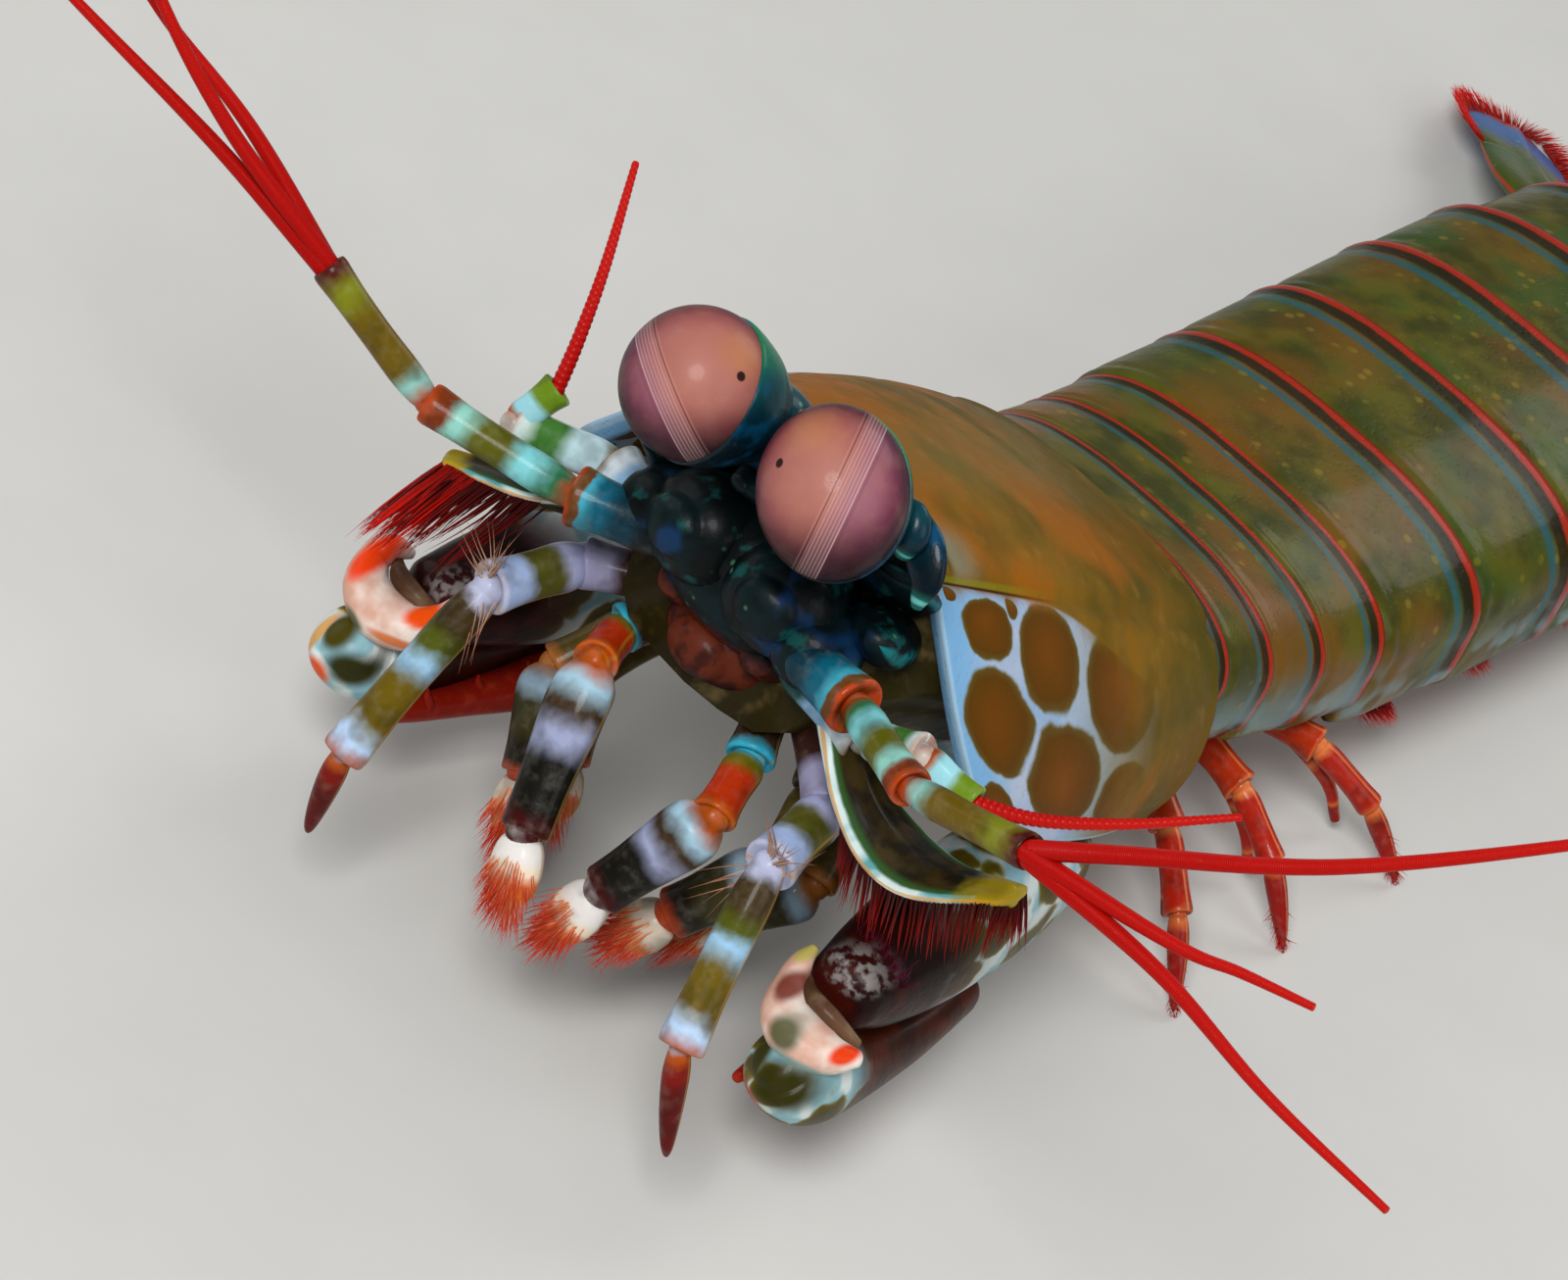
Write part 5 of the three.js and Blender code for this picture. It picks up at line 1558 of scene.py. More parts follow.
@dataclass
class Eye:
    """One eye on its cupped stalk."""

    side: Side
    cup: float = -0.7  # the cup's rim, along the gaze from the eye's middle
    seat: float = 0.5  # how far the cornea reaches into the cup
    turns: int = 72  # rings of the cornea
    # The cup, as [along the gaze from the eye's middle, share of the eye's half sizes]
    stations: Rows = (
        (-5.4, 0.5), (-4.1, 0.62), (-2.9, 0.82), (-1.8, 0.94),
        (-0.95, 1.005), (-0.66, 1.0), (-0.74, 0.955), (-1.1, 0.88),
    )  # fmt: skip
    root: Row = (-8.0, 2.9, -2.8)  # the stalk's root in the head's frame, on the left
    # The knob and the flap at the outer side of the left stalk, in the head's frame
    lobes: tuple[Rows, ...] = (
        ((-3.9, 6.2, 1.2, 0.3, 0.3), (-3.7, 6.9, 0.9, 0.75, 0.6), (-3.7, 7.4, 0.1, 0.85, 0.7),
         (-4.0, 7.4, -0.9, 0.5, 0.45)),
        ((-5.2, 6.6, 0.2, 0.9, 0.5), (-4.8, 7.9, -0.3, 1.1, 0.5), (-4.7, 8.9, -1.3, 0.9, 0.4),
         (-4.7, 9.3, -2.6, 0.3, 0.25)),
    )  # fmt: skip

    def build(self) -> None:
        """Builds the cornea and the stalk with its cup."""
        word, look, sign = self.side.word, EYE_LOOKS[self.side], self.side.value
        centre = HEAD.at(np.array([0, EYE_SPREAD * sign, 0]) + look.shift)
        ways = (look.gaze, look.rise, OVERHEAD, look.bright, look.across, look.pupil)
        gaze, rise, above, bright, across, pupil = (unit(HEAD.way(way)) for way in ways)
        size = np.array([look.half, look.tall])
        turn = np.linspace(math.acos((self.cup - self.seat) / look.half), 0.02, self.turns)
        rows = centre + (look.half * np.cos(turn))[:, None] * gaze
        ball = Form()
        rings = rings_along(rows, np.sin(turn)[:, None] * size, rise, outline(112))
        ball.tube(rings, np.linspace(0, 1, self.turns))
        # bright and below set where the cornea is painted as lit and as shaded
        cornea = CorneaFinish(
            "cornea_" + word, roughness=0.42, coat=0.08, relief=0.006, deep=0.0, centre=centre, bright=bright,
            across=across, band=look.band, pupil=pupil, glow=HEAD.way(look.glow), below=-above,
        )  # fmt: skip
        ball.hand_in("cornea_" + word, cornea, "cornea", "eye_" + word)
        foot = HEAD.at(self.root, sign)
        cup = [[*(centre + far * gaze), *(size * share)] for far, share in self.stations]
        neck = foot * 0.55 + np.array(cup[0][:3]) * 0.45
        fine = smooth([[*foot, 1.5, 1.6], [*neck, 1.6, 1.7], *cup], 9)
        stalk = Form()
        stalk.tube(rings_along(fine[:, :3], fine[:, 3:5], rise, outline(80)), np.linspace(0, 1, len(fine)))
        for rows in self.lobes if self.side is Side.LEFT else ():
            stalk.sweep(HEAD.at(rows), HEAD.forward, outline(32), steps=8)
        wet = {"roughness": 0.36, "coat": 0.15, "deep": 0.0}
        # above: the way that the stalk is painted lit and green; away from it, it is painted dark as shade
        shell = StalkFinish("stalk_cup_" + word, middle=centre, above=above, **wet)
        stalk.hand_in("stalk_" + word, shell, "head_shell", "eyestalk_" + word)


class Swell(Enum):
    """How an article's width changes along it, as [along, share of its half width]."""

    TUBE = (
        (-0.02, 0.4), (0.0, 0.66), (0.07, 0.86), (0.22, 0.98), (0.48, 0.94), (0.74, 0.97),
        (0.9, 1.05), (0.965, 1.08), (1.0, 1.0), (0.99, 0.8), (0.95, 0.5),
    )  # fmt: skip
    WEDGE = (
        (-0.02, 0.4), (0.0, 0.62), (0.05, 0.92), (0.13, 1.17), (0.26, 1.24), (0.46, 1.14),
        (0.72, 1.02), (0.92, 1.0), (0.975, 1.0), (1.0, 0.9), (0.99, 0.7), (0.95, 0.45),
    )  # fmt: skip
    PAD = (
        (-0.02, 0.3), (0.0, 0.5), (0.06, 0.78), (0.2, 1.04), (0.42, 1.16), (0.64, 1.12),
        (0.82, 0.92), (0.93, 0.62), (0.985, 0.3), (1.0, 0.04),
    )  # fmt: skip
    TIP = (
        (-0.02, 0.4), (0.0, 0.68), (0.07, 0.88), (0.25, 1.0), (0.52, 0.88), (0.76, 0.66),
        (0.91, 0.44), (0.98, 0.22), (1.0, 0.04),
    )  # fmt: skip


@dataclass(frozen=True)
class Limb:
    """A jointed limb: one flared shell for each article, with soft joints between."""

    points: Array
    halves: Rows
    shapes: tuple[Swell, ...] = (Swell.TUBE,)  # of the last articles, with tubes before them
    sides: int = 36
    up: Row = tuple(HEAD.forward)  # the direction that its thickness leans to
    bow: float = 0.02

    def draw(self, form: Form) -> None:
        """Adds the limb to a form.

        Args:
            form: The form.
        """
        count = len(self.points) - 1
        kinds = (Swell.TUBE,) * (count - len(self.shapes)) + self.shapes
        for i, kind in enumerate(kinds):
            start, end = self.points[i], self.points[i + 1]
            swell = smooth(kind.value, 5)
            t = swell[:, 0:1]
            arch = self.bow * np.linalg.norm(end - start) * (4 * t * (1 - t)) * self.up
            halves = swell[:, 1:2] * [self.halves[i][0], self.halves[i][-1]]
            path = start + (end - start) * t + arch
            rings = rings_along(path, halves, self.up, outline(self.sides), unit(end - start)[None])
            form.tube(rings, (i + np.clip(t[:, 0], 0, 1)) / count)
            if i:
                form.ball(start, 0.8 * min(self.halves[i][0], self.halves[i - 1][0]), i / count)


@dataclass
class Blade:
    """A flat lobe with a ridge along its middle, and the bristles of its rim."""

    rows: Array  # stations of x, y, z, half width and half thickness
    up: Array
    steps: int = 10

    def draw(self, form: Form, span: Span = (0.0, 1.0)) -> None:
        """Adds the lobe to a form."""
        form.sweep(self.rows, self.up, outline(48, 2.1, 0.6), steps=self.steps, reach=1.2, span=span)

    def rim(self, start: float, ways: Sequence[int], count: int) -> tuple[Array, Array, Array]:
        """Finds where bristles stand on the rim.

        Args:
            start: Where along the lobe they start.
            ways: The sides that carry them, 1 or -1.
            count: How many stand on each side.

        Returns:
            Their roots, the directions out of the rim, and those along the lobe.
        """
        fine = smooth(self.rows, 24)
        fine[-1, 3:5] *= 0.8
        tangent = unit(np.gradient(fine[:, :3], axis=0))
        side = unit(np.cross(tangent, self.up))
        tip, found = fine[-1], []
        for way in ways:
            for k in np.linspace(start * (len(fine) - 1), len(fine) - 1, count):
                i = int(k)
                out = side[i] * way
                found.append((fine[i, :3] + out * fine[i, 3] * 0.95, out, tangent[i]))
            for k in range(count // 4):
                share = (k + 0.5) / (count // 4)
                root = tip[:3] + side[-1] * way * tip[3] * share + tangent[-1] * 0.2
                found.append((root, side[-1] * way * share, tangent[-1]))
        roots, outs, alongs = (np.array(column) for column in zip(*found))
        return roots, outs, alongs


@dataclass(frozen=True)
class HeadPose:
    """One side's feelers and mouth limbs, as places from the middle of the eyes."""

    antennule: Rows
    flagella: tuple[Rows, ...]
    antenna: Rows
    whip: Rows
    scale: Rows
    scale_tilt: float
    fringe: Row  # the way and reach of the scale's bristles
    bundle: int  # how many of them cling together
    maxilliped_1: Rows
    maxilliped_3: Rows


POSES: dict[Side, HeadPose] = {
    Side.LEFT: HeadPose(
        antennule=((-7.2, 3.6, -8.8), (-5.5, 9.6, -8.5), (-2.5, 15.3, -8.6), (1, 22.9, -5.8)),
        flagella=(
            ((1, 22.7, -5.8), (2.6, 27.0, -2.4), (3.2, 35.0, 3.8), (3.0, 43.0, 12.0), (1.5, 48.0, 18.0)),
            ((1, 22.7, -6.1), (3.0, 31.5, -5.2), (4.2, 39.0, -5.6), (5.2, 46.5, -5.4)),
            ((1.2, 22.7, -5.9), (3.0, 31.3, -3.8), (3.2, 34.6, -2.6), (3.0, 38.0, -1.6)),
        ),
        antenna=((-8.0, 4.4, -9.6), (-8.2, 9.8, -10.2), (-6.0, 13.6, -8.2), (-6.4, 16.8, -8.4)),
        whip=((-6.4, 16.6, -8.4), (-7.6, 19.4, -7.2), (-9.6, 22.4, -5.0), (-12.4, 25.6, -2.0)),
        scale=((-8.3, 7.4, -10.3), (-8.6, 11.6, -12.8), (-8.0, 16.4, -13.2), (-7.4, 20.6, -10.8)),
        scale_tilt=15,
        fringe=(-1.0, 1.4, -3.4),
        bundle=0,
        maxilliped_1=(
            (-13.4, 4.4, -12.4), (-10.6, 9.6, -14.9), (-6, 10.6, -17.5),
            (-4, 13.2, -26.6), (-6, 15.2, -32),
        ),
        maxilliped_3=(
            (-13.2, 2.6, -12.4), (-10.4, 4.8, -15.8), (-8, 6, -18.4),
            (-7.4, 3.8, -25), (-7.8, 2.8, -28.6),
        ),
    ),
    Side.RIGHT: HeadPose(
        antennule=((-7.2, -3.6, -8.8), (-5.5, -8.8, -10.3), (-2.5, -16.7, -10.9), (1, -23.5, -8.1)),
        flagella=(
            ((1, -23.3, -8.0), (3.2, -31.1, -5.6), (4.6, -38.0, -2.4), (5.6, -45.0, 2.4)),
            ((1, -23.3, -8.4), (2.4, -31.4, -7.0), (4.0, -39.8, -6.0), (5.6, -48.0, -5.0)),
            ((0.7, -23.3, -8.2), (1.6, -31.0, -5.4), (2.4, -38.6, -3.8), (3.0, -46.0, -1.4)),
        ),
        antenna=((-8.0, -4.4, -9.4), (-8.8, -9.4, -8.9), (-6, -13.9, -9.9), (-6.6, -13.3, -7.2)),
        whip=((-6.6, -13.3, -7.6), (-7.2, -14.2, -5.0), (-8.6, -16.0, -1.6), (-11.0, -19.0, 2.6)),
        scale=((-8.5, -7.0, -9.8), (-8.2, -10.4, -11.7), (-6.9, -13.3, -12.7), (-6.0, -15.5, -13.5)),
        scale_tilt=-6,
        fringe=(-0.6, -2.6, -7.4),
        bundle=110,
        maxilliped_1=(
            (-13.4, -4.4, -12.4), (-10.8, -8.8, -14.4), (-6, -9.9, -17),
            (-4, -10.3, -28), (-6, -10.4, -33.2),
        ),
        maxilliped_3=(
            (-13.2, -3.4, -12.4), (-10.4, -4.8, -15.4), (-7, -3.4, -16.4),
            (-5, -0.3, -24.6), (-5, 1.2, -28),
        ),
    ),
}
REAR_MOUTH: dict[str, Rows] = {
    "maxilliped_4": (
        (-18, 3.6, -12.4), (-15.6, 6.6, -16.4), (-13.6, 8, -20.4),
        (-12.6, 5.4, -25.4), (-12.4, 4, -28.4),
    ),
    "maxilliped_5": (
        (-23, 4, -12.4), (-21, 7.2, -17), (-18.6, 8.4, -21.2),
        (-17.2, 6, -25.2), (-16.8, 4.6, -28),
    ),
}
ANTENNULE_BANDS = (
    (0.0, "#041a20"), (0.35, "#083e50"), (0.6, "#0e6c84"), (0.8, "#4cb0c4"), (0.9, "#7a4a1c"),
    (0.95, "#c0480e"), (1.06, "#2f7a50"), (1.2, "#8ed6da"), (1.4, "#6a6a0c"), (1.68, "#a0d6ca"),
    (1.86, "#8a3c10"), (1.93, "#c04e10"), (2.07, "#9fd4cc"), (2.2, "#7a6408"), (2.7, "#8c9018"),
    (2.9, "#5c1408"),
)  # fmt: skip
ANTENNA_BANDS = (
    (0.0, "#1c5a56"), (0.4, "#9fc8e6"), (0.75, "#e4eef4"), (0.98, "#8a6a2c"), (1.12, "#cfe8ee"),
    (1.5, "#4f8a3a"), (1.85, "#dcebe8"), (2.0, "#b85a1a"), (2.2, "#a9dce4"), (2.6, "#7a9a1c"),
)  # fmt: skip
MAXILLIPED_BANDS = (
    (0.0, "#4a2a24"), (0.66, "#a9a6c2"), (0.98, "#b4b6d8"), (1.12, "#b9bcdc"), (1.3, "#666424"),
    (1.66, "#b2c4e4"), (1.97, "#c3c6dc"), (2.04, "#4c3a18"), (2.28, "#5e6414"), (2.38, "#a9cfe8"),
    (2.5, "#7a660a"), (2.84, "#c4dcf4"), (2.97, "#b85a12"), (3.08, "#8a1404"), (3.3, "#6a0804"),
)  # fmt: skip
CENTRAL_BANDS = (
    (0.0, "#3f2a1a"), (0.9, "#3ab4cc"), (1.08, "#7a7412"), (1.3, "#c03a08"), (1.9, "#c8620e"),
    (2.07, "#b4d4e4"), (2.2, "#4a3620"), (2.36, "#a9b0cc"), (2.52, "#17140c"), (2.92, "#4a0806"),
    (3.02, "#e8e4e0"), (3.4, "#efe0cc"), (3.6, "#d97a30"),
)  # fmt: skip
REAR_BANDS = (
    (0.0, "#3f2a1a"), (1.1, "#5a4a18"), (1.9, "#a86a2a"), (2.1, "#93a9b8"), (2.3, "#3f3a18"),
    (2.7, "#221a10"), (2.95, "#a8421a"), (3.05, "#cfc4b4"), (3.5, "#c88a54"),
)  # fmt: skip
LEG_BANDS = (
    (0.0, "#8a5a3a"), (0.5, "#c8481a"), (1.0, "#7a2a0c"), (1.1, "#c23c10"), (2.0, "#e08a4a"),
    (2.1, "#b8260c"), (3.0, "#d97a3a"), (3.12, "#9c1608"),
)  # fmt: skip


@dataclass
class HeadLimbs:
    """The feelers, scale and mouth limbs of one side."""

    side: Side

    def __post_init__(self) -> None:
        self.pose = POSES[self.side]
        self.rng = np.random.default_rng(11 if self.side is Side.LEFT else 12)

    def name(self, word: str) -> str:
        """A name with the side's word."""
        return f"{word}_{self.side.word}"

    def hand_in(self, word: str, limb: Limb | Blade, finish: Finish, node: str) -> None:
        """Draws one limb or blade, and hands it in.

        Args:
            word: The piece's name without its side.
            limb: The limb or blade.
            finish: Its finish.
            node: The name of the node that it stands for, without its side.
        """
        form = Form()
        limb.draw(form)
        form.hand_in(self.name(word), finish, "limb_shell", self.name(node))

    def feelers(self) -> None:
        """The banded stalks of both antennae, and their red whips."""
        limb = Limb(HEAD.at(self.pose.antennule), ((1.45,), (1.0,), (0.85,)))
        dress = LimbFinish("antennule_bands", bands=ANTENNULE_BANDS, edge_strength=0.15)
        self.hand_in("antennule_stalk", limb, dress, "antennule")
        Flagellum().grow(self.name("whips"), self.pose.flagella, self.name("flagella"))
        limb = Limb(HEAD.at(self.pose.antenna), ((1.4, 1.2), (1.1, 0.75), (0.9, 0.6)))
        # edge: the colour of its painted rim light
        dress = LimbFinish("antenna_bands", bands=ANTENNA_BANDS, edge="#e8f2f0")
        self.hand_in("antenna_stalk", limb, dress, "antenna")
        whip = Flagellum(root=0.42, ring=0.34)
        whip.grow(self.name("antenna_whip"), (self.pose.whip,), self.name("antenna"))

    def scale(self) -> None:
        """The leaf-like scale of the second antenna, and its long red bristles, most of them painted dark red
        as shade.
        """
        tilt = math.radians(self.pose.scale_tilt)
        up = HEAD.up * math.cos(tilt) + HEAD.forward * math.sin(tilt)
        halves = np.array([(0.9, 0.8), (2.1, 0.5), (2.9, 0.45), (1.4, 0.4)])
        blade = Blade(np.hstack([HEAD.at(self.pose.scale), halves]), up)
        self.hand_in("scale_leaf", blade, ScaleFinish("scale_leaf"), "antennal_scale")
        layers = (
            # the fringe's setae painted dark as shade; the bundle in its own red
            ("scale_fringe", 130, 0.1, 0.4, 0.86, SHADED_FRINGE),
            ("scale_bundle", self.pose.bundle, 0.025, 0.75, 0.9, RED_FRINGE),
        )
        clump_size = 9
        for word, count, stray, start, reach, dress in layers:
            if not count:
                continue
            roots, outs, _ = blade.rim(start, (1, -1), count // 2)
            total = len(roots)
            clumps = self.rng.normal(0, stray * 0.7, (total // clump_size + 1, 3))
            astray = np.repeat(clumps, clump_size, axis=0)[:total]
            lies = unit(HEAD.way(self.pose.fringe)) + outs * stray + astray
            lengths = self.rng.uniform(0.7, 1.0, total) * reach * np.linalg.norm(self.pose.fringe)
            hair = Bristles(bow=0.06)
            hair.grow(self.name(word), roots, lies, lengths, dress, "flagellum", self.name("antennal_scale"))

    def joint_hair(self) -> None:
        """The stiff hairs round the knee of the first mouth limb."""
        knee, count = HEAD.at(self.pose.maxilliped_1[2]), 8
        roots, lies = [], []
        for aim in ((0.7, -0.2, 1.0), (0.7, 0.5, 0.8), (0.5, -0.6, -1.0)):
            way = unit(HEAD.way(np.array(aim) * [1, self.side.value, 1]))
            lies.append(unit(way + self.rng.normal(0, 0.16, (count, 3))))
            roots.append(knee + way * 0.75 + self.rng.normal(0, 0.25, (count, 3)))
        root, lie = np.vstack(roots), np.vstack(lies)
        reach = 3.5 * self.rng.uniform(0.45, 1.15, len(root))
        hair = Bristles(thickness=0.06, bow=0.05)
        node = self.name("maxilliped_1")
        hair.grow(self.name("joint_hair"), root, lie, reach, PALE_HAIR, "limb_shell", node)

    def brushed(self, node: str, points: Array, bands: Bands, sides: int) -> None:
        """Builds a stout mouth limb that ends in a pad with a brush.

        Args:
            node: The node's name without its side.
            points: The limb's joints.
            bands: The limb's colours.
            sides: How many points its section has.
        """
        limb = Limb(points, ((1.2,), (1.1,), (1.35, 1.1), (1.2, 0.9)), (Swell.WEDGE, Swell.PAD), sides)
        self.hand_in(node + "_limb", limb, LimbFinish(node + "_bands", articles=4, bands=bands), node)
        tip, way = points[-1], unit(points[-1] - points[-2])
        count, depth = 240, 2.6
        back = self.rng.uniform(0.1, depth, count)
        about = self.rng.uniform(0.0, 1.0, count) * 2.6 - 1.3
        side = unit(np.cross(way, HEAD.forward))
        lift = np.cross(side, way)
        out = np.sin(about)[:, None] * side + np.cos(about)[:, None] * lift
        width = 1.05 * np.sqrt(np.clip(back / depth, 0, 1))[:, None]
        roots = tip - way * back[:, None] + out * width
        lies = way * 1.3 + out * 0.55 + self.rng.normal(0, 0.12, (count, 3))
        reach = self.rng.uniform(1.2, 2.4, count)
        hair = Bristles(thickness=0.05, bow=0.12)
        hair.grow(self.name(node + "_brush"), roots, lies, reach, WARM_HAIR, "limb_shell", self.name(node))

    def build(self) -> None:
        """Builds the feelers, the scale, the slender first mouth limb and the stout ones behind."""
        self.feelers()
        self.scale()
        limb = Limb(HEAD.at(self.pose.maxilliped_1), ((1.25,), (1.32,), (1.12,), (0.68,)), (Swell.TIP,))
        # edge: the colour of its painted rim light
        dress = LimbFinish("maxilliped_bands", articles=4, bands=MAXILLIPED_BANDS, edge="#d8a420")
        self.hand_in("cleaning_limb", limb, dress, "maxilliped_1")
        self.joint_hair()
        self.brushed("maxilliped_3", HEAD.at(self.pose.maxilliped_3), CENTRAL_BANDS, 36)
        for node, places in REAR_MOUTH.items():
            self.brushed(node, HEAD.at(places, self.side.value), REAR_BANDS, 28)


CLAW_PARTS: dict[str, Rows] = {
    "root": ((-27, 7.0, -13.4, 1.8, 1.8), (-30.5, 10.2, -14.6, 2.0, 2.0), (-33.0, 12.0, -15.4, 1.9, 2.1)),
    "merus": (
        (-33.8, 12.4, -15.6, 1.6, 1.9), (-30.5, 13.0, -16.4, 2.8, 3.2), (-25.5, 13.8, -18.0, 3.3, 3.8),
        (-20.5, 14.7, -20.0, 3.1, 3.6), (-16.5, 15.3, -21.6, 2.6, 2.8), (-14.0, 15.6, -22.3, 2.1, 1.9),
    ),
    "propodus": (
        (-10.8, 16.4, -26.3, 1.5, 1.5), (-11.6, 16.6, -26.7, 2.3, 2.2), (-13.6, 16.7, -27.0, 2.5, 2.4),
        (-17.5, 16.4, -26.8, 2.1, 2.1), (-23.0, 15.8, -25.4, 1.6, 1.7), (-27.6, 15.0, -23.4, 1.3, 1.5),
    ),
    "dactyl": (
        (-28.4, 14.2, -23.2, 1.2, 1.4), (-27.2, 13.2, -24.5, 1.8, 2.0), (-24.6, 13.2, -25.9, 1.4, 1.5),
        (-20.0, 13.6, -27.4, 0.9, 1.0), (-15.6, 14.0, -28.6, 0.6, 0.7), (-12.8, 14.3, -29.2, 0.3, 0.35),
    ),
}  # fmt: skip
# The wrist of each side, a crescent from its inner horn round to its outer one, and the skin
# that is stretched across its opening
WRISTS: dict[Side, Rows] = {
    Side.LEFT: (
        (-13.4, 12.3, -21.8, 0.3, 0.3), (-12.8, 12.4, -22.5, 0.6, 0.6), (-12.3, 12.8, -23.4, 0.85, 0.9),
        (-11.7, 13.7, -24.5, 1.25, 1.5), (-11.5, 15.2, -24.9, 1.4, 1.8), (-11.7, 16.7, -24.6, 1.1, 1.4),
        (-12.2, 17.9, -23.9, 0.45, 0.6),
    ),
    Side.RIGHT: (
        (-13.4, -14.1, -20.6, 0.3, 0.3), (-12.8, -13.9, -21.4, 0.6, 0.6), (-12.3, -14.1, -22.4, 0.8, 0.9),
        (-11.7, -14.9, -23.6, 1.2, 1.5), (-11.5, -16.6, -24.1, 1.4, 1.8), (-11.8, -18.4, -23.6, 1.2, 1.4),
        (-12.4, -19.2, -22.5, 0.9, 0.9), (-12.9, -18.9, -21.6, 0.75, 0.7), (-13.4, -18.1, -21.3, 0.3, 0.3),
    ),
}  # fmt: skip
SKINS: dict[Side, Rows] = {
    Side.LEFT: (
        (-13.0, 12.9, -22.9, 0.3, 0.3), (-12.2, 14.0, -23.2, 0.5, 0.5), (-12.2, 15.6, -23.3, 0.5, 0.5),
        (-12.8, 17.2, -23.6, 0.3, 0.3),
    ),
    Side.RIGHT: (
        (-13.0, -18.3, -22.0, 0.3, 0.3), (-12.2, -17.3, -22.2, 0.55, 0.5), (-12.2, -15.8, -22.4, 0.55, 0.5),
        (-12.8, -14.6, -22.5, 0.3, 0.3),
    ),
}  # fmt: skip
# How far each claw's front reaches outwards from the same place on the other side
CLAW_SHIFT = {Side.LEFT: -1.0, Side.RIGHT: 0.3}
HAND_DABS: dict[Side, tuple[Dab, ...]] = {
    Side.LEFT: (
        Dab((-9.9, 16.4, -26.9), (1.5, 1.2), "#3c3a06"),
        Dab((-10.6, 14.4, -26.4), (0.6, 0.9), "#3e3e0c"),
        Dab((-11.0, 14.6, -28.6), (1.2, 0.6), "#b8480e"),
    ),
    Side.RIGHT: (
        Dab((-9.9, 17.4, -25.9), (0.9, 0.8), "#544c06"),
        Dab((-10.3, 15.7, -27.1), (1.1, 0.9), "#38380c"),
        Dab((-10.4, 17.3, -28.3), (0.8, 0.7), "#e8640e"),
        Dab((-10.3, 18.4, -26.9), (0.35, 1.1), "#dca020", 0.8),
    ),
}
WRIST_DABS: dict[Side, tuple[Dab, ...]] = {
    Side.LEFT: (
        Dab((-12.9, 12.3, -21.9), (0.4, 0.4), "#b8b450", 0.8),
        Dab((-11.3, 13.2, -23.2), (0.65, 0.45), "#7a2008", 0.9),
        Dab((-11.2, 17.6, -23.8), (0.5, 0.5), "#e6440c"),
        Dab((-9.8, 14.9, -24.7), (0.9, 0.7), "#4c5428", 0.9),
        Dab((-10.0, 16.2, -25.8), (1.6, 0.45), "#7fb0ac", 0.8),
    ),
    Side.RIGHT: (
        Dab((-10.8, 18.9, -22.2), (0.8, 1.2), "#f04406"),
        Dab((-11.4, 17.9, -21.2), (0.9, 0.5), "#e63a06"),
        Dab((-10.8, 14.3, -22.5), (0.9, 0.45), "#f05608"),
        Dab((-10.0, 14.6, -24.5), (1.3, 0.35), "#dc7a34", 0.9),
        Dab((-9.8, 17.2, -25.0), (0.8, 0.5), "#4e5a2c", 0.9),
    ),
}
# Pale mottling on the front end of the arm
ARM_DABS = (Dab((-12.8, 14.7, -21.3), (1.5, 0.8), "#b0aca8", 0.7, 1.0),)


